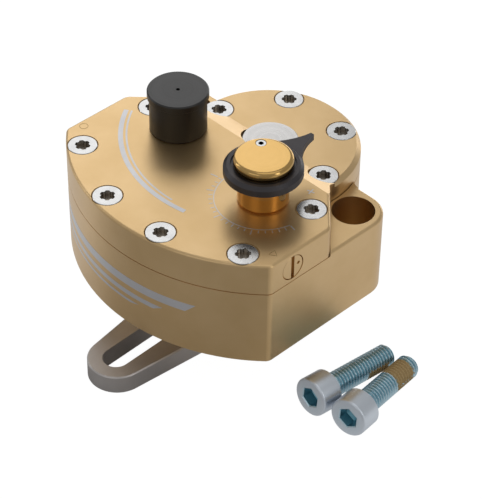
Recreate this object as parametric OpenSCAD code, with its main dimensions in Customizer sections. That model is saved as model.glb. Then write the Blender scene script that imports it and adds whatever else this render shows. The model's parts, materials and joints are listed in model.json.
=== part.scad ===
// Rotary steering damper for a motorcycle: a two-part aluminium body around a vane that
// sweeps an oil chamber, with a click-adjusted base valve, two sweep valves, a spring-loaded
// oil reservoir and a slotted link arm on the splined shaft.
// Frame: origin on the shaft axis, midway between the two mounting holes, on the underside of
// the body. +Z is up along the shaft, +Y points to the round tail, the curved nose faces -Y,
// and +X is the side with the adjuster knob.

/* [Body] */
// Width across the flat side walls
body_w = 94; // [90:1:100]
// Height from the underside to the top of the cover at the nose
body_h = 40; // [39:0.5:44]
// Radius of the curved nose wall about the shaft
nose_r = 66; // [65:0.5:72]
// Radius of the round tail about the shaft
tail_r = 29.5; // [29:0.25:30]
// Thickness of the cover at the nose
cover_t = 11.5; // [11.5:0.5:13]
// Drop from the nose level of the cover to the tail level
tail_drop = 3.7; // [2.5:0.1:4]
// Front edge of the ramp between the two levels, measured behind the shaft axis
ramp_y = -9; // [-11:0.5:-8]
// Length of the ramp
ramp_run = 8.5; // [7:0.5:9]
// Where the side walls of the cover turn in at 45 degrees
shoulder_y = -20.5; // [-21.5:0.5:-19]
// Fillet where the 45 degree wall meets the tail
shoulder_fillet = 4; // [3:0.5:5]
// Rounding of the top edges
edge_r = 1; // [0.4:0.1:1]
// Rounding of the upright corners where the side walls turn in
corner_r = 4; // [2:0.5:6]
// Rounding of the upright corners between the nose and the side walls
nose_corner_r = 3; // [2:0.5:4]
// Chamfer round the top of the tail
tail_chamfer = 1.5; // [1:0.1:1.8]
// Bevel that leaves a thin line at the joint between cover and housing
seam_bevel = 0.3; // [0.2:0.1:0.5]
// Bevel round the foot of the housing
foot_bevel = 0.9; // [0.5:0.1:1.2]

/* [Mounting ears] */
// Distance of each mounting hole from the shaft axis
ear_x = 37.5; // [37:0.25:39]
// Drop from the top of the cover to the top of the ears
ear_drop = 10.2; // [9.8:0.1:11]
// Bore for the shank of the mounting bolt
bolt_bore_d = 8.4; // [8.2:0.1:9]
// Counterbore for the head of the mounting bolt
head_bore_d = 14; // [13.6:0.1:14.4]
// Depth of that counterbore
head_bore_depth = 14; // [12:0.5:16]
// Fillet between the back of an ear and the tail
ear_fillet = 4; // [3:0.5:5]
// Gap between the raised ears and the cover
ear_gap = 0.2; // [0.1:0.05:0.3]

/* [Oil chamber] */
// Metal between the cover seal and the holes of the nose screws
screw_wall = 2.4; // [2:0.1:3]
// Metal between the cover seal and the side walls
side_wall = 1.8; // [1.6:0.1:1.9]
// Turn of the vane to either side before it meets the chamber's end
swing_deg = 45; // [40:1:45]
// Thickness of the chamber floor
floor_t = 6.5; // [6:0.5:8]
// Distance of the cover seal from the chamber
seal_land = 1.4; // [1.2:0.1:1.8]
// Width of the cover seal
seal_w = 2.4; // [2:0.1:2.6]
// Depth of the cover seal's groove
seal_depth = 1.6; // [1.4:0.1:2]

/* [Shaft and vane] */
// Diameter of the shaft where it turns in its bushes
shaft_d = 18.6; // [17.5:0.1:18.6]
// Height of the shaft's top above the low rear part of the cover
shaft_proud = 1; // [0.6:0.1:1.2]
// Radius of the hub that carries the vane
hub_r = 12; // [11.5:0.25:13]
// Thickness of the vane
vane_w = 9; // [8:0.25:9.5]
// Gap between the moving vane and the chamber
vane_gap = 0.3; // [0.25:0.05:0.5]
// Width of the strip seal round the vane
vane_seal_w = 2.4; // [2:0.1:2.8]
// How far the strip seal reaches into its groove
vane_seal_depth = 2.2; // [1.8:0.1:2.6]
// Tongue of the vane in the hub
tongue_w = 6; // [5:0.5:7]
// Diameter of the two screws that hold the vane
vane_screw_d = 4; // [3.5:0.5:4]
// Number of splines on the lower end of the shaft
splines = 30; // [24:1:36]
// Diameter over the splines
spline_d = 17; // [16:0.5:17.4]
// Height of one spline
spline_h = 0.7; // [0.5:0.1:0.9]
// Running clearance on the radius of every turning or sliding fit
run_fit = 0.05; // [0.03:0.01:0.08]
// Wall of the shaft bushes
bush_wall = 1.9; // [1.6:0.1:2.2]
// Length of the lower bush
lower_bush_len = 7.5; // [7:0.5:8]
// Length of the upper bush
upper_bush_len = 4.2; // [4:0.1:4.6]
// Wire of the upper shaft seal
upper_seal_wire = 1.8; // [1.6:0.1:2]
// Radius of the boss under the body
boss_r = 17; // [16.5:0.25:18]
// Height of the boss under the body
boss_h = 9; // [8.5:0.5:10]
// Outer radius of the lower shaft seal
lower_seal_r = 13; // [12.5:0.25:13.5]
// Height of the lower shaft seal
lower_seal_h = 6; // [5:0.5:6.5]
// Thickness of the retaining ring
clip_t = 1; // [0.8:0.1:1.2]

/* [Link arm] */
// Gap between the underside of the body and the top of the arm
arm_drop = 12.8; // [12.8:0.2:14]
// Thickness of the arm
arm_t = 7; // [6.6:0.2:8]
// Height of the raised hub above the arm
arm_hub_rise = 2.8; // [2.4:0.2:2.8]
// Radius of the arm round the shaft
arm_hub_r = 18.5; // [18:0.25:20]
// Radius of the raised part of the hub
arm_rise_r = 16; // [15:0.5:17]
// Distance from the shaft axis to the centre of the arm's end
arm_len = 69.8; // [68:0.2:75]
// Radius of the arm's end
arm_end_r = 9.8; // [9.5:0.1:11]
// Width of the slot
slot_w = 9; // [8:0.2:10]
// Metal between the slot's outer end and the end of the arm
slot_wall = 4.8; // [4:0.1:6]
// Distance from the shaft axis to the centre of the slot's inner end
slot_in = 38; // [34:1:42]
// Turn of the arm at rest, towards +X
arm_deg = 1.5; // [0:0.5:3]
// Bevel round the arm
arm_bevel = 0.4; // [0.3:0.1:0.6]
// Width of the clamping slit
slit_w = 1.6; // [1.2:0.2:2]
// Distance of the clamping screw from the shaft axis
pinch_y = 12.6; // [12.4:0.1:12.8]

/* [Cover screws] */
// Thread diameter of the cover screws
screw_d = 5; // [4.5:0.5:5]
// Head diameter of the cover screws
screw_head_d = 9.6; // [9:0.1:9.8]
// Gap round each screw head
head_gap = 0.3; // [0.2:0.05:0.35]
// Length under the top of the head
screw_len = 24; // [22:1:25]
// Distance of the four nose screws from the nose wall
nose_screw_inset = 5.3; // [5:0.1:5.6]
// Angle from the middle to the outer nose screws
nose_screw_out_deg = 37.3; // [36.5:0.1:37.5]
// Angle from the middle to the inner nose screws
nose_screw_in_deg = 11.6; // [10:0.1:14]
// Distance of the side screws from the side walls
side_screw_inset = 10.7; // [10.4:0.1:11]
// Place of the side screws behind the shaft axis
side_screw_y = -18.2; // [-18.6:0.1:-18]
// Radius of the circle of the four tail screws
tail_screw_r = 24; // [23.6:0.1:24.2]
// Size across the points of the six-lobe socket
socket_d = 5; // [4.4:0.1:5.2]
// Depth of the six-lobe socket
socket_depth = 1.9; // [1.5:0.1:2.2]

/* [Base valve] */
// Distance of the base valve from the side wall
valve_inset = 24.9; // [24:0.1:25.5]
// Place of the base valve behind the shaft axis
valve_y = -25.3; // [-26:0.1:-25]
// Diameter of the collar
collar_d = 16.3; // [15.8:0.1:17]
// Height of the collar above the cover
collar_h = 10.1; // [9.5:0.1:11]
// Diameter of the collar's threaded stem in the cover
stem_d = 12; // [11:0.5:12.5]
// Depth of that stem
stem_len = 7.5; // [7:0.5:8]
// Gap between the turning knob and the collar
knob_gap = 0.25; // [0.2:0.05:0.3]
// Diameter of the knob's head
knob_d = 18.9; // [18:0.1:19]
// Height of the knob's top above the underside of the pointer ring
knob_rise = 6.5; // [6:0.1:6.6]
// Rounding of the knob's edge
knob_round = 1.3; // [0.8:0.1:1.5]
// Diameter of the pointer ring
ring_d = 25.1; // [24:0.1:26]
// Thickness of the pointer ring
ring_t = 3.3; // [2.8:0.1:3.4]
// Bevel round the pointer ring
ring_bevel = 1.1; // [0.6:0.1:1.3]
// Depth of the recess in the ring round the knob
ring_recess = 0.6; // [0.4:0.1:1]
// Gap between the knob and the wall of that recess
ring_recess_gap = 0.9; // [0.7:0.1:1.1]
// Distance from the knob's axis to the tip of the pointer
pointer_r = 22.8; // [20:0.2:23]
// Width of the pointer's blunt tip
pointer_tip_w = 1.3; // [1:0.1:2]
// Hollow radius of the pointer's left flank
pointer_left_r = 25; // [15:1:30]
// Hollow radius of the pointer's right flank
pointer_right_r = 18; // [12:1:30]
// Direction of the pointer from +Y towards -X
pointer_deg = 3; // [0:1:8]
// Diameter of the needle
needle_d = 4; // [3.6:0.2:4.4]
// Lift of the needle for one turn of the knob
needle_pitch = 0.8; // [0.6:0.1:1]
// Number of clicks in one turn of the knob
clicks = 12; // [8:1:16]
// Diameter of the detent ball
ball_d = 2.4; // [2:0.2:2.6]
// Distance of the detent ball from the knob's axis
ball_r = 5.5; // [5.3:0.1:5.6]
// Diameter of the set screw in the top of the knob
set_screw_d = 3.2; // [3:0.1:3.4]
// Distance of the set screw from the knob's axis
set_screw_r = 6.3; // [6:0.1:6.6]
// Direction of the set screw from +X towards +Y
set_screw_deg = 143; // [120:1:160]

/* [Sweep valves] */
// Distance of the sweep valves behind the front corners
sweep_inset = 9.4; // [8.5:0.1:10.5]
// Depth of the sweep valves' axis under the top of the cover
sweep_drop = 5.8; // [5.7:0.05:5.9]
// Diameter of a sweep valve
sweep_d = 8.8; // [8:0.1:9]
// Length of a sweep valve
sweep_len = 11; // [10:0.5:12]
// Width of the screwdriver slot
sweep_slot_w = 1.3; // [1:0.1:1.6]
// Depth of the screwdriver slot
sweep_slot_depth = 1.3; // [1:0.1:1.6]
// Diameter of the indicator dot
sweep_dot_d = 1.2; // [1:0.1:1.5]
// Diameter of the oil galleries
gallery_d = 4; // [3:0.5:4]

/* [Reservoir] */
// Distance of the reservoir from the side wall
res_inset = 24.3; // [23:0.1:25]
// Place of the reservoir behind the shaft axis
res_y = -19.5; // [-20:0.1:-19]
// Diameter of the reservoir tube
res_d = 18.8; // [18:0.1:19.4]
// Wall of the reservoir tube
res_wall = 2; // [1.8:0.1:2.4]
// Height of the reservoir above the cover
res_h = 15; // [14:0.5:18]
// Depth of the tube's thread in the cover
res_thread = 6.5; // [6:0.5:7]
// Diameter of the cap
cap_d = 20.1; // [19.6:0.1:21]
// Height of the cap's rim
cap_t = 2.5; // [2:0.1:3]
// Depth of the cap's plug in the tube
cap_plug = 2.4; // [2:0.2:3]
// Vent hole in the cap
vent_d = 1.3; // [1:0.1:1.6]
// Height of the reservoir piston
piston_h = 4.4; // [4:0.2:5]
// Travel of the reservoir piston
piston_travel = 3.5; // [2:0.5:3.5]
// Wire of the reservoir spring
spring_wire = 0.9; // [0.7:0.1:1]
// Turns of the reservoir spring
spring_turns = 4; // [3:1:5]

/* [Mounting bolts] */
// Thread diameter of the mounting bolts
bolt_d = 8; // [8:0.1:8.1]
// Head diameter of the mounting bolts
bolt_head_d = 13; // [12.8:0.1:13.3]
// Head height of the mounting bolts
bolt_head_h = 8; // [7.5:0.1:8.5]
// Length under the head
bolt_len = 27; // [20:1:30]
// Size across the flats of the hexagon socket
bolt_socket = 6; // [5.5:0.1:6.2]
// Depth of the hexagon socket
bolt_socket_depth = 4; // [3:0.5:4.5]

/* [Hidden] */

gold = [0.83, 0.68, 0.44];
dark_gold = [0.72, 0.5, 0.22];
steel = [0.78, 0.78, 0.76];
black = [0.13, 0.12, 0.12];
rubber = [0.09, 0.09, 0.09];
bronze = [0.68, 0.48, 0.25];
brass = [0.85, 0.7, 0.35];
zinc = [0.66, 0.7, 0.74];
grey = [0.5, 0.49, 0.49];

half_w = body_w / 2;
split_z = body_h - cover_t;
tail_z = body_h - tail_drop;
ear_z = body_h - ear_drop;
ear_r = half_w - ear_x;
// The 45 degree walls lie where |x| + y equals this
shoulder_sum = half_w + shoulder_y;
nose_screw_r = nose_r - nose_screw_inset;
side_screw_x = half_w - side_screw_inset;
valve_x = half_w - valve_inset;
res_x = res_inset - half_w;
corner_y = -sqrt(pow(nose_r, 2) - pow(half_w, 2));
// Reach of every cut that leaves the part, and its overlap where it starts
far = 2 * nose_r;
cut = 1;
// Step by which a flat or a hollow stays off the tangent of the round that it runs into
tangent_step = 0.005;
// How far an upright rounding stands over its walls, so that it crosses them and doesn't touch
corner_proud = 0.015;
// Centres of the upright roundings at +X, and the direction in which one touches the nose
corner_c = [half_w - corner_r, shoulder_y - corner_r * tan(22.5)];
nose_corner_x = half_w - nose_corner_r;
nose_corner_c = [nose_corner_x, -sqrt(pow(nose_r - nose_corner_r, 2) - pow(nose_corner_x, 2))];
nose_corner_deg = atan2(nose_corner_c[1], nose_corner_c[0]);

// Centres of the fillets at the shoulders and behind the ears
shoulder_fillet_sum = shoulder_sum + shoulder_fillet * sqrt(2);
shoulder_fillet_far = tail_r + shoulder_fillet;
shoulder_fillet_x = shoulder_fillet_sum / 2
    + sqrt(pow(shoulder_fillet_far, 2) / 2 - pow(shoulder_fillet_sum / 2, 2));
shoulder_fillet_c = [shoulder_fillet_x, shoulder_fillet_sum - shoulder_fillet_x];
shoulder_fillet_foot = shoulder_fillet_c - [1, 1] * shoulder_fillet / sqrt(2);
ear_fillet_y = ear_r + ear_fillet;
ear_fillet_c = [sqrt(pow(tail_r + ear_fillet, 2) - pow(ear_fillet_y, 2)), ear_fillet_y];

// Chamber and rotor
chamber_r = nose_screw_r - screw_d / 2 - screw_wall - seal_w - seal_land;
chamber_half_w = half_w - side_wall - seal_w - seal_land;
chamber_clear_r = hub_r + vane_gap;
rotor_low = floor_t + vane_gap;
rotor_top = split_z - vane_gap;
vane_r = chamber_r - vane_gap;
vane_seal_reach = vane_gap / 2;
shaft_r = shaft_d / 2;
bush_r = shaft_r + bush_wall;
upper_seal_z = split_z + upper_bush_len + upper_seal_wire / 2;
seal_pocket_z = floor_t - lower_bush_len;
lower_seal_low = seal_pocket_z - lower_seal_h;
clip_z = lower_seal_low - clip_t;
clip_groove_r = lower_seal_r + 0.8;
clip_in_r = shaft_r + 2.2;
clip_eye_r = 0.6;
clip_eye_in = 3.4;
clip_gap_half = 4;
clip_eye_deg = 24;
boss_bevel = 0.8;
shaft_bevel = 0.4;
shaft_top_bevel = 0.3;
shaft_top = tail_z + shaft_proud;
// Centre drilling in the lower end of the shaft
centre_d = 6;
centre_tip_d = 2;
centre_depth = 3;
// Lip seal: wall on the bore, lips and the play of its body round the shaft
lip_wall = 2.4;
lip_h = 1.6;
lip_rise = 1.2;
lip_play = 0.6;
arm_top = -arm_drop;
arm_low = arm_top - arm_t;
arm_hub_top = arm_top + arm_hub_rise;
vane_screw_inset = 5.5;
vane_screw_z = [rotor_low + vane_screw_inset, rotor_top - vane_screw_inset];
vane_screw_seat = 6.6;
vane_screw_reach = 9;
vane_screw_end = -hub_r - vane_screw_reach;
vane_screw_len = vane_screw_seat - vane_screw_end - 0.5;
vane_screw_head_r = vane_screw_d * 0.85;
vane_screw_play = 0.1;
// Distance of the tongue's inner face from the shaft axis, and its reach into the vane
tongue_in = 7;
tongue_root = 2;

// Arm: angle of its sides, the clamping screw and the end of the shaft in it
arm_taper = asin((arm_hub_r - arm_end_r) / arm_len);
// Distance from the shaft axis to the centre of the slot's outer end
slot_out = arm_len + arm_end_r - slot_wall - slot_w / 2;
pinch_z = (arm_low + arm_hub_top) / 2;
pinch_r = 2.5;
pinch_head_r = 4.25;
pinch_head_h = 5;
pinch_seat = 6.5;
pinch_len = 15.5;
pinch_bevel = 0.4;
pinch_socket = 4;
pinch_socket_depth = 2.5;
shaft_short = 0.5;
shaft_end = arm_low + shaft_short;

// Base valve levels
sweep_z = body_h - sweep_drop;
collar_top = body_h + collar_h;
ring_low = collar_top + knob_gap;
ring_top = ring_low + ring_t;
knob_top = ring_low + knob_rise;
knob_low = ring_top - ring_recess;
set_screw_floor = 0.8;
set_screw_sink = 0.1;
set_screw_len = knob_top - set_screw_sink - knob_low - set_screw_floor;
knob_spigot_r = 7.3;
knob_neck = 0.7;
collar_foot = 0.7;
collar_bevel = 0.3;
set_screw_socket = 1.6;
set_screw_socket_depth = 1.5;
// Widened mouth of the set screw's hole
set_screw_mouth_r = set_screw_d / 2 + 0.2;
set_screw_mouth_h = 0.5;
post_r = 3.6;
post_top = knob_top - 1.7;
stem_z = body_h - stem_len;
needle_bore_r = needle_d / 2 + run_fit;
needle_top = post_top - 2;
// Seat of the needle in the stem, and the needle half open above it
needle_seat_z = stem_z + 1.2;
needle_seat_r = needle_d / 2 - 0.6;
needle_tip_r = needle_d / 2 - 1.2;
needle_taper = 2.4;
needle_low = stem_z + 0.1 + needle_pitch;
stem_port_r = 1.1;
stem_port_z = sweep_z + 1;
// Detent: how deep the ball sits in its track and in a notch, its play, its bore and its spring
ball_sink = 0.3;
notch_sink = 0.3;
ball_play = 0.2;
ball_z = collar_top + ball_d / 2 - ball_sink;
detent_bore = 4.4;
detent_spring_play = 0.05;
detent_wire = 0.4;

// Sweep valves
sweep_face = half_w - 0.1;
sweep_bore_r = sweep_d / 2 + run_fit;
sweep_inner = half_w - sweep_len - 1;
sweep_y = corner_y + sweep_inset;
sweep_bevel = 0.3;
sweep_dot_depth = 0.5;
// Length and offset of the flat that meters the oil
sweep_flat = 3;
sweep_flat_out = 1.1;
// Ports down to the chamber, galleries to the base valve and the feed of the reservoir
port_inset = 2.2;
port_x = sqrt(pow(chamber_r - port_inset, 2) - pow(sweep_y, 2));
port_r = gallery_d / 2 - 0.4;
link_gallery_r = gallery_d / 2 - 0.7;
feed_r = 1;
feed_rise = 0.9;
o_wire = 1.2;
// Depth of a ring's groove as a share of its wire, and the ring's play in it
groove_share = 0.8;
ring_play = 0.1;

// Reservoir levels
res_r = res_d / 2;
thread_depth = 0.8;
thread_r = res_r - thread_depth;
res_foot = 0.4;
cap_foot = 0.2;
cap_bevel = 0.4;
// Dish in the top of the piston
dish_rim = 1.6;
dish_slope = 0.4;
dish_depth = 1.2;
// Seal on the reservoir's thread, low enough to clear the countersinks beside it
res_seal_wire = 0.7;
res_seal_z = body_h - 3.6;
tube_bore_r = res_r - res_wall;
res_low = body_h - res_thread;
res_top = body_h + res_h;
tube_top = res_top - cap_t;
plug_low = tube_top - cap_plug;
piston_low = res_low + 0.6;
piston_top = piston_low + piston_h;
piston_r = tube_bore_r - run_fit;
spring_low = piston_top + 0.1;
spring_h = plug_low - 0.1 - spring_low;
spring_mid_r = tube_bore_r - spring_wire;
// Steps along one turn of the spring and sides of its wire
spring_steps = 24;
spring_sides = 8;

// Rounding of the head's edge in two bevels, and the bevel of the tip
bolt_bevel = 0.8;
bolt_soft = bolt_bevel * (1 - sqrt(1 / 2));
bolt_tip = 1;
bolt_tilt = atan((bolt_head_d - bolt_d) / 2 / bolt_len);
bolt_rise = bolt_head_d / 2 * cos(bolt_tilt) + bolt_head_h * sin(bolt_tilt);
// Each loose bolt: place of its head's face and its direction from +X
bolt_places = [[[57.8, -38.6], 87.8], [[72.3, -36.6], 98.2]];

nose_screws = [for (a = [-nose_screw_out_deg, -nose_screw_in_deg, nose_screw_in_deg, nose_screw_out_deg])
    [nose_screw_r * sin(a), -nose_screw_r * cos(a), body_h]];
side_screws = [for (s = [-1, 1]) [s * side_screw_x, side_screw_y, body_h]];
tail_screws = [for (a = [0 : 60 : 180]) [tail_screw_r * cos(a), tail_screw_r * sin(a), tail_z]];
screws = concat(nose_screws, side_screws, tail_screws);
// Upright edge of a screw head, play of its shank in the cover and of its thread
head_land = 0.6;
screw_play = 0.25;
thread_play = 0.02;
screw_edge = 0.15;
screw_tip = 0.6;
screw_spare = 1;
// Six round ribs that leave the six lobes of the socket
rib_r = 0.7;
rib_out = 0.26;
dowel_y = -10.5;
dowel_out = 5;
dowels = [for (s = [-1, 1]) [s * (shoulder_sum + dowel_out), dowel_y]];
dowel_r = 2;
dowel_reach = 5;
dowel_play = 0.1;
// Ledge that holds the upper shaft seal down
upper_seal_ledge = 0.4;

// Plan of everything on the nose side of the two 45 degree walls
module shoulder_wedge(grow) {
    translate([0, shoulder_sum + grow * sqrt(2)])
        rotate(-135)
            square(far);
}

// Fills the inside corner between two outlines that touch a circle of radius r about c
module corner_fill(c, r, foot) {
    difference() {
        polygon([[0, 0], foot, c]);
        translate(c)
            circle(r = r, $fn = 64);
    }
}

// Plan of the cover, grown by a gap
module cover_plan(grow = 0) {
    intersection() {
        circle(r = nose_r + grow, $fn = 180);
        translate([-half_w - grow, -far])
            square([body_w + 2 * grow, 2 * far]);
        shoulder_wedge(grow);
    }
    circle(r = tail_r + grow, $fn = 120);
    for (s = [0, 1])
        mirror([s, 0])
            corner_fill(shoulder_fillet_c, shoulder_fillet - grow - tangent_step, shoulder_fillet_foot);
}

// Plan of the fan-shaped chamber, grown by g
module chamber_plan(g = 0) {
    intersection() {
        circle(r = chamber_r + g, $fn = 160);
        // Both end walls stand parallel to the vane at the end of its swing
        translate([0, (vane_w / 2 + vane_gap + g) / sin(swing_deg)])
            polygon([[0, 0], [-far * sin(swing_deg), -far * cos(swing_deg)],
                [far * sin(swing_deg), -far * cos(swing_deg)]]);
        square([2 * (chamber_half_w + g), 2 * far], center = true);
    }
    circle(r = chamber_clear_r + g, $fn = 96);
}

// Section of an edge at x = 0 with its material on the -X side: its foot bevelled, and its
// top rounded by round_r or, without that, bevelled by top_bevel
module edge_section(width, low, top, round_r, bevel, top_bevel) {
    h = top - low;
    upper = round_r > 0
        ? [[0, h - round_r], [-round_r, h - round_r], [-round_r, h]]
        : [[0, h - top_bevel], [-top_bevel, h]];
    translate([0, low])
        polygon(concat([[-width, 0], [-bevel, 0], [0, bevel]], upper, [[-width, h]]));
    if (round_r > 0)
        translate([-round_r, top - round_r])
            circle(r = round_r, $fn = 32);
}

// Half-space behind a wall that faces the direction deg at the distance reach
module wall_slab(reach, deg, low, top, round_r, bevel, top_bevel = 0) {
    rotate([0, 0, deg])
        rotate([90, 0, 0])
            linear_extrude(2 * far, center = true)
                translate([reach, 0])
                    edge_section(far, low, top, round_r, bevel, top_bevel);
}

// Disc with the same edge
module edge_disc(r, low, top, round_r, bevel, top_bevel = 0) {
    rotate_extrude($fn = 180)
        translate([r, 0])
            edge_section(r, low, top, round_r, bevel, top_bevel);
}

// Straight round hole or pin from one point to another
module rod(from, to, r) {
    v = to - from;
    flat = norm([v[0], v[1]]);
    translate(from)
        rotate([0, atan2(flat, v[2]), atan2(v[1], v[0])])
            cylinder(h = norm(v), r = r, $fn = 48);
}

// Rubber ring of round section
module o_ring(mid_r, wire) {
    rotate_extrude($fn = 96)
        translate([mid_r, 0])
            circle(d = wire, $fn = 32);
}

// Flat-bottomed groove for such a ring, cut round a stem
module stem_groove(stem_r, wire) {
    difference() {
        cylinder(h = wire, r = stem_r + cut, center = true, $fn = 96);
        cylinder(h = wire + cut, r = stem_r - wire * groove_share, center = true, $fn = 96);
    }
}

// Pocket for one countersunk screw: clearance round the head, the cone it seats on, shank hole
module screw_pocket() {
    shank_r = screw_d / 2 + screw_play;
    mouth_r = screw_head_d / 2 + head_gap;
    mouth_z = head_gap - head_land;
    translate([0, 0, mouth_z])
        cylinder(h = tail_drop + 2 * cut, r = mouth_r, $fn = 64);
    translate([0, 0, mouth_z - mouth_r + shank_r])
        cylinder(h = mouth_r - shank_r, r1 = shank_r, r2 = mouth_r, $fn = 64);
    translate([0, 0, -far])
        cylinder(h = far, r = shank_r, $fn = 48);
}

module six_lobe_socket() {
    difference() {
        cylinder(h = socket_depth + cut, d = socket_d, $fn = 48);
        for (a = [0 : 60 : 300])
            rotate(a)
                translate([socket_d / 2 + rib_out, 0, -cut])
                    cylinder(h = socket_depth + 3 * cut, r = rib_r, $fn = 24);
    }
}

module hex_socket(flats, depth) {
    cylinder(h = depth, d = flats / cos(30), $fn = 6);
}

module cover() {
    color(gold)
    difference() {
        union() {
            intersection() {
                edge_disc(nose_r, split_z, body_h, edge_r, seam_bevel);
                wall_slab(half_w, 0, split_z, body_h, edge_r, seam_bevel);
                wall_slab(half_w, 180, split_z, body_h, edge_r, seam_bevel);
                wall_slab(shoulder_sum / sqrt(2), 45, split_z, body_h, edge_r, seam_bevel);
                wall_slab(shoulder_sum / sqrt(2), 135, split_z, body_h, edge_r, seam_bevel);
            }
            edge_disc(tail_r, split_z, tail_z, 0, seam_bevel);
            // The tail rises to the ramp on its nose side
            intersection() {
                edge_disc(tail_r, split_z, body_h, edge_r, seam_bevel);
                translate([-far / 2, -tail_r, 0])
                    cube([far, tail_r + ramp_y + ramp_run, far]);
            }
            translate([0, 0, split_z])
                linear_extrude(cover_t)
                    for (s = [0, 1])
                        mirror([s, 0])
                            corner_fill(shoulder_fillet_c, shoulder_fillet, shoulder_fillet_foot);
        }
        for (s = [0, 1])
            mirror([s, 0, 0]) {
                corner_cut(corner_c, corner_r, 45, split_z, body_h, edge_r, seam_bevel);
                corner_cut(nose_corner_c, nose_corner_r, nose_corner_deg, split_z, body_h, edge_r,
                    seam_bevel);
            }
        ramp_cut();
        tail_chamfer_cut();
        cover_bores();
    }
}

// What a rounding of radius r takes off an upright corner at +X. It touches the two walls in the
// directions 0 and deg from its centre, and its edges are those of the walls.
module corner_cut(centre, r, deg, low, top, round_r, bevel) {
    reach = r + cut;
    translate([centre[0], centre[1], 0])
        difference() {
            translate([0, 0, low - cut])
                linear_extrude(top - low + 2 * cut)
                    polygon([[0, 0], [reach, 0], [reach, reach * tan(deg / 2)],
                        reach * [cos(deg), sin(deg)]]);
            rotate_extrude($fn = 96) {
                translate([r + corner_proud, 0])
                    edge_section(r + corner_proud, low, top, round_r, bevel, 0);
                // The top stays flat inside the rounded rim
                translate([0, top - round_r - cut])
                    square([r + corner_proud - round_r, round_r + 3 * cut]);
            }
        }
}

// Everything above the ramp and the lower tail level
module ramp_cut() {
    rotate([90, 0, 90])
        linear_extrude(far, center = true)
            polygon([[ramp_y, body_h], [ramp_y + ramp_run, tail_z], [far, tail_z],
                [far, body_h + cut], [ramp_y, body_h + cut]]);
}

// Chamfer round the tail's top edge, behind the ramp
module tail_chamfer_cut() {
    intersection() {
        rotate_extrude($fn = 180)
            polygon([[tail_r - tail_chamfer, tail_z], [tail_r + cut, tail_z - tail_chamfer - cut],
                [tail_r + cut, tail_z + cut], [tail_r - tail_chamfer, tail_z + cut]]);
        translate([-far / 2, ramp_y + ramp_run, 0])
            cube([far, far, far]);
    }
}

module cover_bores() {
    for (p = screws)
        translate(p)
            screw_pocket();
    for (p = dowels)
        translate([p[0], p[1], split_z - cut])
            cylinder(h = dowel_reach + cut, r = dowel_r, $fn = 48);
    // Shaft bore, upper bush seat and seal groove
    cylinder(h = far, r = shaft_r + run_fit, $fn = 96);
    translate([0, 0, split_z - cut])
        cylinder(h = upper_bush_len + cut, r = bush_r, $fn = 96);
    translate([0, 0, upper_seal_z - upper_seal_wire / 2])
        cylinder(h = upper_seal_wire, r = shaft_r + run_fit + upper_seal_wire, $fn = 96);
    translate([0, 0, upper_seal_z + upper_seal_wire / 2 + upper_seal_ledge])
        cylinder(h = far, r = shaft_r + head_gap, $fn = 96);
    // Base valve
    translate([valve_x, valve_y, stem_z])
        cylinder(h = far, d = stem_d, $fn = 96);
    translate([valve_x, valve_y, body_h - o_wire])
        cylinder(h = far, r = stem_d / 2 + o_wire, $fn = 96);
    // Reservoir
    translate([res_x, res_y, res_low])
        cylinder(h = far, r = thread_r, $fn = 96);
    translate([res_x, res_y, res_seal_z - res_seal_wire / 2])
        cylinder(h = res_seal_wire, r = thread_r + res_seal_wire, $fn = 96);
    // Sweep valves, the ports down to the chamber, and a straight gallery from each port
    for (s = [-1, 1]) {
        outside = [s * (half_w + cut), sweep_y, sweep_z];
        rod([s * (port_x - port_inset), sweep_y, sweep_z], outside, gallery_d / 2);
        rod([s * sweep_inner, sweep_y, sweep_z], outside, sweep_bore_r);
        rod([s * port_x, sweep_y, split_z - cut], [s * port_x, sweep_y, sweep_z], port_r);
        rod([s * port_x, sweep_y, sweep_z], [valve_x, valve_y, sweep_z], link_gallery_r);
    }
    rod([valve_x, valve_y, sweep_z], [res_x, res_y, res_low + feed_rise], feed_r);
}

module housing() {
    color(gold)
    difference() {
        union() {
            // Nose and side walls up to the joint
            intersection() {
                edge_disc(nose_r, 0, split_z, 0, foot_bevel);
                wall_slab(half_w, 0, 0, split_z, 0, foot_bevel);
                wall_slab(half_w, 180, 0, split_z, 0, foot_bevel);
                translate([-far / 2, -far, -cut])
                    cube([far, far, far]);
            }
            edge_disc(tail_r, 0, split_z, 0, foot_bevel);
            ears();
            translate([0, 0, -boss_h])
                rotate_extrude($fn = 96)
                    polygon([[0, 0], [boss_r - boss_bevel, 0], [boss_r, boss_bevel],
                        [boss_r, boss_h + cut], [0, boss_h + cut]]);
        }
        for (s = [0, 1])
            mirror([s, 0, 0])
                corner_cut(nose_corner_c, nose_corner_r, nose_corner_deg, 0, split_z, 0, foot_bevel);
        // Seat of the cover between the raised ears
        translate([0, 0, split_z])
            linear_extrude(far)
                cover_plan(ear_gap);
        translate([0, 0, floor_t])
            linear_extrude(far)
                chamber_plan();
        translate([0, 0, split_z - seal_depth])
            linear_extrude(far)
                difference() {
                    chamber_plan(seal_land + seal_w);
                    chamber_plan(seal_land);
                }
        housing_bores();
    }
}

// The two ears with the strip of side wall behind the cover's shoulders
module ears() {
    for (s = [0, 1])
        mirror([s, 0, 0]) {
            translate([ear_x, 0, 0])
                edge_disc(ear_r, 0, ear_z, edge_r, foot_bevel);
            intersection() {
                wall_slab(half_w, 0, 0, ear_z, edge_r, foot_bevel);
                translate([ear_x - ear_r, shoulder_y - 1, 0])
                    cube([far, -shoulder_y + 1, far]);
            }
            intersection() {
                wall_slab(ear_r, 90, 0, ear_z, edge_r, foot_bevel);
                cube([ear_x, far, far]);
            }
            linear_extrude(ear_z)
                corner_fill(ear_fillet_c, ear_fillet, [ear_fillet_c[0], 0]);
        }
}

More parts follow.
